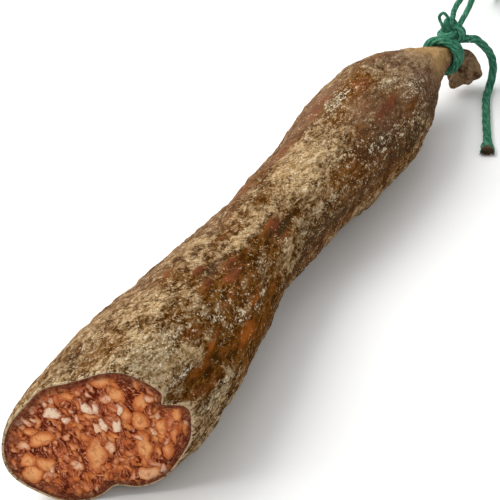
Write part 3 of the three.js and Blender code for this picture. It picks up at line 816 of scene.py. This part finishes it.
def plane_noise(u, v, cell, seed):
    """Smooth values from -1 to 1 over the cut plane, from random numbers on a square lattice."""
    last = 79
    lattice = np.random.default_rng(seed).uniform(-1, 1, (last + 1, last + 1))
    p, q = u / cell + last // 2, v / cell + last // 2
    i, j = np.floor(p).astype(int) % last, np.floor(q).astype(int) % last
    s, t = smoothstep(p - np.floor(p)), smoothstep(q - np.floor(q))
    first = lattice[i, j] * (1 - t) + lattice[i, j + 1] * t
    second = lattice[i + 1, j] * (1 - t) + lattice[i + 1, j + 1] * t
    return first * (1 - s) + second * s


def on_cut(pixel):
    """Where a pixel of the photo lies on the cut: millimetres across it and up from its middle. The
    camera's ray through the pixel meets the plane of the cut."""
    back = np.array([math.cos(CAMERA_HEADING), math.sin(CAMERA_HEADING), 0])
    ahead = back * math.cos(CAMERA_ELEVATION) - UP * math.sin(CAMERA_ELEVATION)
    right = np.cross(back, UP)
    x, y = (pixel - PHOTO_WIDTH / 2) * CAMERA_SENSOR / CAMERA_LENS / PHOTO_WIDTH
    ray = ahead + right * x - np.cross(right, ahead) * y
    eye = (CAMERA_TARGET - ahead * CAMERA_DISTANCE) / MM
    middle = np.array([CUT_X, RINGS[0, 1], RINGS[0, 2]])
    square = np.array([1, -CUT_BIAS, -CUT_LEAN])
    off = eye + ray * ((middle - eye) @ square / (ray @ square)) - middle
    return np.array([off[1] * math.hypot(1, CUT_BIAS), off[2]])


def laid_on_cut(kind, left, top, half_width, half_height, tilt):
    """An oval of the photo as it lies on the cut: kind, place across and up, half lengths and tilt.
    Its two half axes are laid on the cut, and their singular values are the half lengths there.
    The results are rounded, because the reading is no finer than a millimetre."""
    middle = np.array([left, top]) / ENLARGED + (0, ENLARGED_TOP)
    a = math.radians(tilt)
    axes = np.array([(math.cos(a), -math.sin(a)), (math.sin(a), math.cos(a))])
    axes = axes * [[half_width], [half_height]] / ENLARGED
    spans = [(on_cut(middle + axis) - on_cut(middle - axis)) / 2 for axis in axes]
    turned, half_lengths, _ = np.linalg.svd(np.stack(spans, 1))
    lean = math.degrees(math.atan2(turned[1, 0], turned[0, 0]))
    lean = (lean + 90) % 180 - 90
    return (kind, *np.round(on_cut(middle)), *np.round(half_lengths, 1), round(lean))


def shown_pieces():
    """The pieces of fat that show best, as they lie on the cut."""
    pieces = [laid_on_cut(*oval) for oval in FAT_OVALS]
    pieces.insert(TAN_NUMBER, TAN_PIECE)
    return pieces


def chopped_pieces(across, up, rim_gap):
    """The mosaic of the cut. Each point belongs to the piece whose pointed oval is nearest. Inside
    the outline of a piece of fat it is fat, and the rest is lean that wraps round it. Gives fat, pale
    and yellow shares, a random tone for each piece, the distance to the seam between two pieces, the
    depth inside the piece, and a strand position whose first part grows outwards from the piece."""
    random = np.random.default_rng(7)
    pieces = shown_pieces()
    shown = np.array([p[1:] for p in pieces], dtype=float)
    shown[:, 2:4] *= SHOWN_SWELL
    tones = np.array([FAT_TONES[p[0]] for p in pieces])
    loose = []
    for _ in range(LOOSE_TRIES):
        spot = random.uniform(-LOOSE_FIELD, LOOSE_FIELD)
        small = random.uniform(*LOOSE_WIDTHS)
        inside = any(math.dist(spot, s[:2]) < 0.95 * math.sqrt(s[2] * s[3]) + 0.35 for s in shown)
        crowded = any(math.dist(spot, s[:2]) < LOOSE_GAP for s in loose)
        if not inside and not crowded and len(loose) < LOOSE_PIECES:
            loose.append((*spot, small * random.uniform(*LOOSE_STRETCH), small, random.normal(*LOOSE_TILT)))
    loose = np.array(loose)
    sites = np.concatenate([shown, loose])
    count = len(loose)
    fatty = random.random(count) < FAT_SHARE
    fat = np.concatenate([np.ones(len(shown)), fatty * random.uniform(0.55, 1.0, count)])
    pale = np.concatenate([tones[:, 0], np.where(fatty, random.beta(1.2, 2.4, count), 0)])
    yellow = np.concatenate([tones[:, 1], random.random(count) * 0.5])
    tone = random.random(len(sites))
    bend = plane_noise(across, up, 2.6, 3), plane_noise(across, up, 2.6, 5)
    u = across + 0.6 * bend[0] + 0.24 * plane_noise(across, up, 1.3, 4)
    v = up + 0.6 * bend[1] + 0.24 * plane_noise(across, up, 1.3, 6)
    tilt = np.radians(sites[:, 4])
    du, dv = u[:, None] - sites[:, 0], v[:, None] - sites[:, 1]
    major = (du * np.cos(tilt) + dv * np.sin(tilt)) / sites[:, 2]
    minor = (-du * np.sin(tilt) + dv * np.cos(tilt)) / sites[:, 3]
    reach = (np.abs(major) ** POINTED + np.abs(minor) ** POINTED) ** (1 / POINTED)
    order = np.argsort(reach, axis=1)[:, :2]
    rows = np.arange(len(u))
    own = order[:, 0]
    nearest, next_one = reach[rows, own], reach[rows, order[:, 1]]
    size = np.sqrt(sites[own, 2] * sites[own, 3])
    edge = (1 - nearest) * size
    # strands lean like the pieces, waver, part round the fat and follow the casing near it
    gap = (reach[:, :len(shown)] - 1) * np.sqrt(shown[:, 2] * shown[:, 3])
    part = -np.log(np.exp(-np.clip(gap, -2, 20)).sum(1))
    lean = math.radians(STRAND_TILT)
    off = -across * math.sin(lean) + up * math.cos(lean) + plane_noise(across, up, 6, 12)
    off = off + 0.3 * bend[0] + 0.7 * np.clip(part, -1, 2)
    outer = smoothstep(1.4 - rim_gap / 3)
    off = off * (1 - outer) + 1.2 * rim_gap * outer
    along = 0.24 * (across * math.cos(lean) + up * math.sin(lean)) + 0.3 * bend[1]
    return {
        "fat": fat[own] * smoothstep(edge / 1.1 + 0.55),
        "pale": pale[own],
        "yellow": yellow[own],
        "tone": tone[own],
        "seam": (next_one - nearest) * size,
        "depth": np.clip(edge, 0, 3),
        "strand": np.stack([off * 1.3, along, 0 * off], -1),
    }


def meat_finish(colours):
    """Chopped filling: stringy lean wrapped round pieces of orange-stained and pale fat, dark seams,
    and a dried ring next to the casing. It shines where it is moist."""
    f = Finish("chopped_filling", Specular_IOR_Level=0.03, Coat_Roughness=0.14)
    fat, pale, yellow, tone = (f.value(n) for n in ("fat", "pale", "yellow", "tone"))
    seam, depth, ring = (f.value(n) for n in ("seam", "depth", "ring"))
    where = f.place()
    strings = f.noise(f.vector("strand"), 1.3, 5, 0.72, 0.3) - 0.5
    mid = f.grain(2.2, where, 4, 0.65, 0.8) - 0.5
    fine = f.grain(0.7, where, 3, 0.7, 0.4) - 0.5
    shaded = f.grain(7, where, 2, 0.5) - 0.5
    # the lean meat
    bright = strings * 2.1 + mid * 1.3 + shaded * 0.8 + tone * 0.2
    lean = f.ramp(bright, -0.16, 0.4, colours.dark_lean, colours.lean)
    lean = f.blend(f.step(strings * 1.6 + fine * 1.3, 0.08, 0.28) * 0.85, lean, colours.sinew)
    # the fat
    warm = f.ramp(tone + mid * 2.4 + strings, 0.1, 0.9, colours.orange_fat, colours.amber_fat)
    warm = f.ramp(depth + mid * 4 + fine * 1.5, -0.2, 1.5, colours.stain, warm)
    warm = f.blend(yellow * 0.3 + f.step(depth + mid * 5, 0.9, 2.4) * 0.4, warm, colours.yellow_fat)
    white = f.step(pale * 0.45 + depth * 0.6 + mid * 1.4 - 0.1, 0.1, 0.95) * pale
    fatty = f.blend(white, warm, colours.white_fat)
    fatty = f.blend(f.step(strings + mid * 1.8, -0.04, 0.3) * 0.6, fatty, colours.stain)
    # the seams and the dried ring over both
    body = f.ramp(fat * 1.4 + mid * 0.9 + fine * 0.5, 0.4, 0.95, lean, fatty)
    seams = 1 - f.step(seam + mid * 0.8, 0.0, 0.3)
    body = f.blend(seams * (0.3 + fat * 0.3), body, colours.dark_lean)
    dried = 1 - f.step(ring + mid * 1.6 - strings, 0.35, 1.2)
    body = f.blend(dried * 0.85, body, f.ramp(strings + fine, -0.12, 0.2, colours.rind, colours.dried))
    wet = f.step(strings + fine + mid * 0.5, 0.12, 0.3) * (1 - dried * 0.6)
    f.put(Base_Color=body, Roughness=0.5 - fat * 0.06 + dried * 0.12 + fine * 0.3, Coat_Weight=wet)
    f.bumps(fine + strings * 1.4 * (1 - fat * 0.6) + mid * 0.9 - seams * 0.3, 0.5)
    return f


def disc_net():
    """Share of the radius and angle at each point of a square net drawn onto a disc:
    x = u sqrt(1 - v^2 / 2), y = v sqrt(1 - u^2 / 2)."""
    even = np.linspace(-1, 1, FACE_CELLS + 1)
    u, v = np.meshgrid(even, even, indexing="ij")
    p, q = u * np.sqrt(1 - v * v / 2), v * np.sqrt(1 - u * u / 2)
    return np.minimum(1, np.hypot(p, q)).ravel(), np.arctan2(q, p).ravel()


class SAUSAGE_OT_filling(bpy.types.Operator):
    """Builds the filling with its chopped cut face"""

    bl_idname = "sausage.filling"
    bl_label = "Build filling"

    def execute(self, context):
        sizes, colours = context.scene.sausage_sizes, context.scene.sausage_colours
        rim = sizes.rim / MM
        # the cut face
        share, angle = disc_net()
        outline = skin(np.zeros((1, 1)), angle[None, :], np.full((1, angle.size), rim + RIM_GAP))[0]
        hub = np.array([CUT_X, RINGS[0, 1], RINGS[0, 2]])
        face = hub + (outline - hub) * share[:, None]
        across = (face[:, 1] - hub[1]) * math.hypot(1, CUT_BIAS)
        up = face[:, 2] - hub[2]
        rim_gap = np.linalg.norm(outline - face, axis=1)
        values = chopped_pieces(across, up, rim_gap)
        relief = 0.2 * smoothstep(values["seam"] / 0.5) * (0.3 + values["fat"])
        relief = relief + 0.14 * plane_noise(across, up, 3.2, 8) + 0.07 * plane_noise(across, up, 0.9, 9)
        face[:, 0] -= (relief - 0.15) * smoothstep(rim_gap / 0.8)
        index = np.arange(len(face)).reshape(FACE_CELLS + 1, FACE_CELLS + 1)
        corners = [index[:-1, :-1], index[:-1, 1:], index[1:, 1:], index[1:, :-1]]
        net = np.stack(corners, -1).reshape(-1, 4)
        # the wall, from the net's rim in order round the cut to a point at the far end
        loop = np.concatenate([index[-1, :-1], index[:0:-1, -1], index[0, :0:-1], index[:-1, 0]])
        turn = angle[loop][None, :]
        k = even_rings(0, MEAT_END_RING, MEAT_ROWS)[1:, None]
        wall = skin(k, turn, inner_inset(k, rim) + WALL_GAP + 0 * turn)
        rows = len(face) + np.arange(wall[..., 0].size).reshape(-1, len(loop))
        rows = np.concatenate([loop[None, :], rows])
        onward = np.roll(rows, -1, axis=1)
        side = np.stack([rows[:-1], onward[:-1], onward[1:], rows[1:]], -1).reshape(-1, 4)
        tip = wall[-1].mean(0) + MEAT_POINT * ALONG
        points = np.concatenate([face, wall.reshape(-1, 3), [tip]])
        faces = np.concatenate([net, side, pole_faces(len(points) - 1, rows[-1], True)])
        values["ring"] = rim_gap / (DRIED_WIDTH + patches(0 * angle, angle, DRIED_SPOTS))
        hidden = len(points) - len(face)
        full = {key: np.concatenate([v, np.zeros((hidden, *v.shape[1:]))]) for key, v in values.items()}
        add_piece("filling", points, faces, meat_finish(colours), "meat", values=full)
        return {"FINISHED"}


def spline(points, closed=False, spacing=0.35):
    """Centripetal Catmull-Rom curve through points, resampled evenly: each knot's step is the
    square root of the distance, and open ends carry on straight."""
    p = np.asarray(points, dtype=float)
    before, after = (p[-1:], p[:2]) if closed else (2 * p[:1] - p[1:2], 2 * p[-1:] - p[-2:-1])
    p = np.concatenate([before, p, after])
    step = np.maximum(np.linalg.norm(np.diff(p, axis=0), axis=1) ** 0.5, 1e-4)[:, None]
    p0, p1, p2, p3 = p[:-3], p[1:-2], p[2:-1], p[3:]
    d0, d1, d2 = step[:-2], step[1:-1], step[2:]
    m1 = ((p1 - p0) / d0 - (p2 - p0) / (d0 + d1) + (p2 - p1) / d1) * d1
    m2 = ((p2 - p1) / d1 - (p3 - p1) / (d1 + d2) + (p3 - p2) / d2) * d1
    t = np.linspace(0, 1, 24, endpoint=False)[:, None, None]
    bent = p1 + m1 * t + (3 * (p2 - p1) - 2 * m1 - m2) * t**2 + (2 * (p1 - p2) + m1 + m2) * t**3
    bent = np.concatenate([bent.transpose(1, 0, 2).reshape(-1, 3), p2[-1:]])
    length = np.concatenate([[0], np.cumsum(np.linalg.norm(np.diff(bent, axis=0), axis=1))])
    count = max(8, round(length[-1] / spacing))
    even = np.linspace(0, length[-1], count + 1)
    path = np.stack([np.interp(even, length, bent[:, c]) for c in range(3)], -1)
    return path[:-1] if closed else path


def path_frames(path, closed=False):
    """Two directions square to the path at each point: the first is carried along without twist."""
    ahead = np.roll(path, -1, 0) - np.roll(path, 1, 0)
    if not closed:
        ahead[0], ahead[-1] = path[1] - path[0], path[-1] - path[-2]
    ahead = unit(ahead)
    seed = UP if abs(ahead[0][2]) < 0.9 else ALONG
    first = [unit(np.cross(ahead[0], seed))]
    for way in ahead[1:]:
        carried = first[-1] - way * np.dot(first[-1], way)
        first.append(carried / np.linalg.norm(carried))
    first = np.array(first)
    if closed:
        back = first[-1] - ahead[0] * np.dot(first[-1], ahead[0])
        gap = math.atan2(np.dot(np.cross(back, first[0]), ahead[0]), np.dot(back, first[0]))
        turn = (np.arange(len(path)) / len(path) * gap)[:, None]
        first = first * np.cos(turn) + np.cross(ahead, first) * np.sin(turn)
    return ahead, first, np.cross(ahead, first)


PLIES = 5
PLY_RADIUS = 0.46
TWINE_COLUMNS = 40
# Moves the pattern on from one tube to the next, so that no two look alike
PATTERN_SHIFT = np.array([17.0, 0, 3.0])


def ply_outline(angle):
    """Outline of the round plies that lie against each other, for a twine of radius 1:
    r = d cos(t) + sqrt(p^2 - d^2 sin^2(t)), where t is the angle from the nearest ply's middle."""
    t = (angle + math.pi / PLIES) % (TURN / PLIES) - math.pi / PLIES
    off = 1 - PLY_RADIUS
    return off * np.cos(t) + np.sqrt(PLY_RADIUS**2 - (off * np.sin(t)) ** 2), t


def twine_tube(path, radius, lay, closed=False, swell=None, flat=None):
    """Grid of a twisted twine along a path: the ply outline turned once for each lay of length.
    Swell scales the radius along it and flat squashes it in z. Also gives the length along and the
    angle off a ply's middle, for the pattern."""
    ahead, first, second = path_frames(path, closed)
    gaps = np.linalg.norm(np.roll(path, -1, 0) - path, axis=1)
    place = np.concatenate([[0], np.cumsum(gaps[:-1])])
    total = gaps.sum() if closed else place[-1]
    turns = max(1, round(total / lay)) / total if closed else 1 / lay
    angle = np.linspace(0, TURN, TWINE_COLUMNS, endpoint=False)[None, :]
    r, t = ply_outline(angle)
    turned = angle - TURN * turns * place[:, None]
    size = radius * (1 if swell is None else swell[:, None])
    offset = first[:, None] * np.cos(turned)[..., None] + second[:, None] * np.sin(turned)[..., None]
    offset = offset * (size * r)[..., None]
    if flat is not None:
        offset[..., 2] *= flat[:, None]
    grid = path[:, None] + offset
    t = np.broadcast_to(t, grid.shape[:2])
    lay_map = np.stack([np.broadcast_to(place[:, None], t.shape), t * radius, 0 * t], -1)
    return grid, lay_map, (r - 0.6) / 0.4 + 0 * t


def twine_mesh(parts):
    """Points, faces and pattern values of several twine tubes: (grid, lay map, height, closed)."""
    points, faces, lays, heights, base = [], [], [], [], 0
    for number, (grid, lay_map, height, closed) in enumerate(parts):
        rows, columns = grid.shape[:2]
        if closed:
            p, q = grid.reshape(-1, 3), tube_faces(rows, columns, True)
            extra = 0
        else:
            p, q = closed_surface(grid, grid[0].mean(0), grid[-1].mean(0))
            extra = 2
        points.append(p)
        faces.append(q[:, ::-1] + base)
        lay_map = lay_map.reshape(-1, 3) + number * PATTERN_SHIFT
        lays.append(np.concatenate([lay_map, np.zeros((extra, 3))]))
        heights.append(np.concatenate([height.ravel(), np.zeros(extra)]))
        base += len(p)
    return np.concatenate(points), np.concatenate(faces), np.concatenate(lays), np.concatenate(heights)


def twine_finish(colours):
    """Twisted green fibre: pale worn fibres and painted highlight streaks, most on the crowns, painted
    shade in the grooves between the plies, threads that run with each ply, and a soiled brown tip where the
    twine is cut."""
    f = Finish("green_twine", Specular_IOR_Level=0.15)
    lay, height = f.vector("lay_map"), f.value("height")
    along = f.node("ShaderNodeMapping", inputs={"Vector": lay, "Scale": (0.16, 1, 1)})
    threads = f.noise(along, 3.4, 4, 0.7)
    wear = f.grain(2.5, f.place(), 3)
    # painted shade in the grooves between the plies, from the ply height, and darker threads
    tone = f.ramp(height * 0.5 + threads, 0.45, 0.95, colours.twine_groove_shade, colours.twine)
    # worn pale fibres, and painted highlight streaks leaning to the crowns
    tone = f.blend(f.step(threads + wear * 0.5 + height * 0.1, 0.74, 1.0) * 0.8, tone, colours.twine_pale_and_highlight)
    tone = f.ramp(f.value("tip") + threads - 0.5, 0.3, 0.7, tone, colours.soiled)
    f.put(Base_Color=tone, Roughness=0.8)
    f.bumps(threads, 0.6)
    return f


# The twine's wraps round the neck, in rings, and the knot, as the part's solids have them
WRAP_LEAN = 0.5
WRAP_REACH = 0.3
WRAP_TURNS = (0.1, 0.7)
INNER_TURN = 0.45
INNER_RADIUS = 1.2
INNER_CLOSE = 0.78
WRAP_STEPS = 20
FIT_GAP = 0.3
KNOT_CENTRE = np.array([TIE_X + 3.8, -4, BULB_Z + 7.2])
KNOT_SCALE = 1.45
KNOT_STEPS = 30
KNOT_FACING = Vector((-0.45, -0.35, 0.82))
EAR_RADIUS = 0.65
EAR_POINTS = KNOT_CENTRE + np.array([
    (-2.9, 1.9, 1),
    (-2.8, 3, 3.6),
    (-2.6, 4.4, 6.6),
    (-2.4, 2.8, 8.6),
    (-2.3, 1, 7),
    (-2.1, 1.1, 3.6),
    (-1.6, 0.4, 1),
])
STUB = 3.4
LOOP_OUT = (KNOT_CENTRE + (0.8, 0.8, 2.6), unit(np.array([0.74, 0.1, 0.66])))
LOOP_BACK = (KNOT_CENTRE + (1.8, -2.2, 2.2), unit(np.array([0.84, -0.1, 0.54])))
END_OUT = (KNOT_CENTRE + (1.2, -3.6, -3), unit(np.array([0.5, -0.86, -0.02])))
LOOP_Z = LOOP_RADIUS + 0.1
END_Z = TWINE_RADIUS + 0.1


def off_stub(stub, distance):
    return tuple(stub[0] + stub[1] * distance)


LOOP_POINTS = [
    off_stub(LOOP_OUT, STUB + FIT_GAP),
    off_stub(LOOP_OUT, STUB + 3),
    (140, -2.8, 36.4),
    (148.6, -2.4, 37),
    (158, 1, 34.8),
    (170, 6.4, 29.4),
    (180, 10.4, 22),
    (189, 14, 13.6),
    (197.4, 17.4, 6),
    (206, 20.4, LOOP_Z + 0.5),
    (215, 22.2, LOOP_Z),
    (223, 19.6, LOOP_Z),
    (225.6, 12.6, LOOP_Z),
    (221, 6.8, LOOP_Z),
    (212.4, 5.4, LOOP_Z),
    (204.6, 6.4, LOOP_Z + 1),
    (196.4, 5.6, 7),
    (188, 3.6, 14.8),
    (179.2, 1.2, 22.8),
    (169, -1.8, 29.8),
    (157.6, -4.2, 34.6),
    (147, -5.8, 36.4),
    off_stub(LOOP_BACK, STUB + 4),
    off_stub(LOOP_BACK, STUB + FIT_GAP),
]
END_POINTS = [
    off_stub(END_OUT, STUB + FIT_GAP),
    off_stub(END_OUT, STUB + 2),
    (136, -15, 21),
    (139.8, -17.4, 14.6),
    (140.8, -18.4, 8),
    (137.8, -18.8, 2.8),
    (131, -20.2, END_Z),
    (122.4, -23.6, END_Z),
    (113, -27.6, END_Z),
    (104.6, -31.4, END_Z),
    (96, -35, END_Z),
]


def wrap_path(offset, close=1.0):
    """A turn of twine round the neck: it stands off the stoutest section that it covers, and its
    left side leans down the shoulder. Close draws it in towards the neck."""
    a = np.arange(WRAP_STEPS) / WRAP_STEPS * TURN
    k = TIE_RING + offset - WRAP_LEAN * (1 + np.cos(a)) / 2
    centre, _, side, top = section(k)
    reach = [along_rings(k + d, RINGS[:, 3]) for d in (-WRAP_REACH, 0, WRAP_REACH)]
    away = ((1 + PLEAT_DEPTH * TIE_PLEAT_SHARE) * np.max(reach, 0) + TWINE_RADIUS + FIT_GAP)[:, None]
    return centre + close * away * (side * np.cos(a)[:, None] + top * np.sin(a)[:, None])


def knot_path():
    """A trefoil: (sin a + 2 sin 2a, cos a - 2 cos 2a, -sin 3a), scaled and turned."""
    a = np.arange(KNOT_STEPS) / KNOT_STEPS * TURN
    shape = np.stack([np.sin(a) + 2 * np.sin(2 * a), np.cos(a) - 2 * np.cos(2 * a), -np.sin(3 * a)], -1)
    turned = Vector((0, 0, 1)).rotation_difference(KNOT_FACING).to_matrix()
    return shape * KNOT_SCALE @ np.array(turned).T + KNOT_CENTRE


class SAUSAGE_OT_knot(bpy.types.Operator):
    """Builds the twine's turns round the neck, the knot and its small eye"""

    bl_idname = "sausage.knot"
    bl_label = "Build knot"

    def execute(self, context):
        sizes, colours = context.scene.sausage_sizes, context.scene.sausage_colours
        lay, thick, thin = sizes.lay / MM, sizes.twine / MM / 2, sizes.loop_twine / MM / 2
        parts = []
        for offset in WRAP_TURNS:
            path = spline(wrap_path(offset), True)
            parts.append((*twine_tube(path, thick, lay, True), True))
        inner = spline(wrap_path(INNER_TURN, INNER_CLOSE), True)
        parts.append((*twine_tube(inner, INNER_RADIUS, lay, True), True))
        parts.append((*twine_tube(spline(knot_path(), True), thick, lay, True), True))
        parts.append((*twine_tube(spline(EAR_POINTS, spacing=0.3), EAR_RADIUS, lay / 2), False))
        for stub, radius in ((LOOP_OUT, thin), (LOOP_BACK, thin), (END_OUT, thick)):
            path = spline([off_stub(stub, -1.5), off_stub(stub, STUB)])
            parts.append((*twine_tube(path, radius, lay), False))
        points, faces, lays, heights = twine_mesh(parts)
        add_piece("twine_tie", points, faces, twine_finish(colours), "twine_knot",
                  values={"lay_map": lays, "height": heights})
        return {"FINISHED"}


# How much shorter the lay of the loop's thinner twine is
LOOP_LAY = 0.75


class SAUSAGE_OT_loop(bpy.types.Operator):
    """Builds the hanging loop of thinner twine"""

    bl_idname = "sausage.loop"
    bl_label = "Build hanging loop"

    def execute(self, context):
        sizes, colours = context.scene.sausage_sizes, context.scene.sausage_colours
        path = spline(LOOP_POINTS)
        tube = twine_tube(path, sizes.loop_twine / MM / 2, sizes.lay / MM * LOOP_LAY)
        points, faces, lays, heights = twine_mesh([(*tube, False)])
        piece = add_piece("hanging_loop", points, faces, twine_finish(colours), "twine_loop",
                          values={"lay_map": lays, "height": heights})
        return {"FINISHED"}


# The frayed tip: over what length it opens, how much wider and flatter it gets, and how far back it
# is soiled
FRAY_LENGTH = 9
FRAY_SWELL = 0.75
FRAY_FLATTEN = 0.4
SOILED_LENGTH = 3
# Its loose fibres: how many, radius, how far they reach beyond the tip, and lowest height
FIBRES = 90
FIBRE_RADIUS = 0.11
FIBRE_REACH = (0.3, 1.3)
FIBRE_FLOOR = 0.12


def fray_fibres(path, radius):
    """Loose fibres at the cut end: short thin tubes that start in the flared end and fan out."""
    random = np.random.default_rng(19)
    tip, way = path[-1], unit(path[-1] - path[-6])
    side = unit(np.cross(way, UP))
    spread, lift = random.uniform(-1, 1, FIBRES), random.uniform(-0.9, 0.9, FIBRES)
    length = random.uniform(*FIBRE_REACH, FIBRES)
    start = tip + side * (spread * radius * 1.5)[:, None] + UP * (lift * radius * 0.7)[:, None]
    aside = spread * 0.25 + random.normal(0, 0.12, FIBRES)
    fan = unit(way + side * aside[:, None] + UP * (lift * 0.12 - 0.05)[:, None])
    parts = []
    for foot, lean, reach in zip(start, fan, length):
        line = foot + lean * np.linspace(-1.2, reach, 6)[:, None]
        line[:, 2] = np.maximum(line[:, 2], FIBRE_FLOOR)
        grid, lay_map, height = twine_tube(line, FIBRE_RADIUS, 6)
        parts.append((grid[:, ::5], lay_map[:, ::5], 0.3 + 0 * height[:, ::5], False))
    return parts


class SAUSAGE_OT_cut_end(bpy.types.Operator):
    """Builds the twine's cut end with its frayed tip"""

    bl_idname = "sausage.cut_end"
    bl_label = "Build cut end"

    def execute(self, context):
        sizes, colours = context.scene.sausage_sizes, context.scene.sausage_colours
        path = spline(END_POINTS)
        radius = sizes.twine / MM / 2
        left = np.linalg.norm(np.diff(path, axis=0), axis=1)[::-1].cumsum()[::-1]
        open_share = smoothstep(1 - np.append(left, 0) / FRAY_LENGTH)
        swell, flat = 1 + FRAY_SWELL * open_share, 1 - FRAY_FLATTEN * open_share
        tube = twine_tube(path, radius, sizes.lay / MM, False, swell, flat)
        points, faces, lays, heights = twine_mesh([(*tube, False), *fray_fibres(path, radius)])
        tip = 1 - smoothstep(np.linalg.norm(points - path[-1], axis=1) / SOILED_LENGTH - 0.3)
        piece = add_piece("cut_end", points, faces, twine_finish(colours), "twine_end",
                          values={"lay_map": lays, "height": heights, "tip": tip})
        return {"FINISHED"}


# The floor, in metres, and the backdrop
FLOOR_HALF = 3.0
FLOOR_TONES = (0.9, 0.9, 0.89), (0.84, 0.84, 0.83)
BACKDROP_STRENGTH = 0.46
# Soft lights: name, direction from the sausage as the camera's left, away from it and up, distance
# and width in metres, and power in watts
LIGHTS = (
    ("key", (0.9, 0.1, 0.95), 1.0, 0.9, 11.5),
    ("fill", (-0.5, -0.9, 0.6), 1.3, 1.2, 2.4),
    ("top", (0.2, 0.5, 1.0), 1.2, 1.2, 6.0),
)


class SAUSAGE_OT_stage(bpy.types.Operator):
    """Sets the camera, the pale floor and the soft light"""

    bl_idname = "sausage.stage"
    bl_label = "Set stage"

    def execute(self, context):
        scene = context.scene
        back = Vector((math.cos(CAMERA_HEADING), math.sin(CAMERA_HEADING), 0))
        left = Vector((-back.y, back.x, 0))
        ahead = back * math.cos(CAMERA_ELEVATION) - Vector((0, 0, math.sin(CAMERA_ELEVATION)))
        camera = bpy.data.objects.new("camera", bpy.data.cameras.new("camera"))
        camera.data.lens = CAMERA_LENS
        camera.data.clip_start = 0.01
        camera.location = Vector(CAMERA_TARGET) - ahead * CAMERA_DISTANCE
        camera.rotation_euler = ahead.to_track_quat("-Z", "Y").to_euler()
        scene.collection.objects.link(camera)
        scene.camera = camera
        mesh = bpy.data.meshes.new("floor")
        corners = [(x * FLOOR_HALF, y * FLOOR_HALF, 0) for x, y in ((-1, -1), (1, -1), (1, 1), (-1, 1))]
        mesh.from_pydata(corners, [], [(0, 1, 2, 3)])
        f = Finish("pale_floor", Roughness=0.9, Specular_IOR_Level=0.2)
        f.put(Base_Color=f.blend(f.grain(40, f.place(), 2) * 0.1, *FLOOR_TONES))
        mesh.materials.append(f.material)
        floor = bpy.data.objects.new("floor", mesh)
        scene.collection.objects.link(floor)
        for name, way, distance, width, power in LIGHTS:
            aim = (left * way[0] + back * way[1] + Vector((0, 0, way[2]))).normalized()
            lamp = bpy.data.lights.new(name, "AREA")
            lamp.size = width
            lamp.energy = power
            holder = bpy.data.objects.new(name, lamp)
            holder.location = aim * distance
            holder.rotation_euler = (-aim).to_track_quat("-Z", "Y").to_euler()
            scene.collection.objects.link(holder)
        world = bpy.data.worlds.new("studio")
        world.use_nodes = True
        backdrop = world.node_tree.nodes["Background"]
        backdrop.inputs["Color"].default_value = (1, 1, 1, 1)
        backdrop.inputs["Strength"].default_value = BACKDROP_STRENGTH
        scene.world = world
        scene.view_settings.view_transform = "Standard"
        return {"FINISHED"}


class SAUSAGE_PT_panel(bpy.types.Panel):
    """Lists the pieces of the sausage"""

    bl_label = "Cured Sausage"
    bl_idname = "SAUSAGE_PT_panel"
    bl_space_type = "VIEW_3D"
    bl_region_type = "UI"
    bl_category = "Sausage"

    def draw(self, context):
        for operator in OPERATORS:
            self.layout.operator(operator.bl_idname)
        for group in (context.scene.sausage_sizes, context.scene.sausage_colours):
            for name in group.__annotations__:
                self.layout.prop(group, name)


OPERATORS = (
    SAUSAGE_OT_stage,
    SAUSAGE_OT_loop,
    SAUSAGE_OT_cut_end,
    SAUSAGE_OT_knot,
    SAUSAGE_OT_casing,
    SAUSAGE_OT_filling,
)
CLASSES = (SausageSizes, SausageColours, *OPERATORS, SAUSAGE_PT_panel)


def register():
    for cls in CLASSES:
        bpy.utils.register_class(cls)
    bpy.types.Scene.sausage_sizes = bpy.props.PointerProperty(type=SausageSizes)
    bpy.types.Scene.sausage_colours = bpy.props.PointerProperty(type=SausageColours)


def unregister():
    del bpy.types.Scene.sausage_colours
    del bpy.types.Scene.sausage_sizes
    for cls in reversed(CLASSES):
        bpy.utils.unregister_class(cls)


def main():
    register()
    bpy.ops.sausage.stage()
    bpy.ops.sausage.loop()
    bpy.ops.sausage.cut_end()
    bpy.ops.sausage.knot()
    bpy.ops.sausage.casing()
    bpy.ops.sausage.filling()


if __name__ == "__main__":
    main()
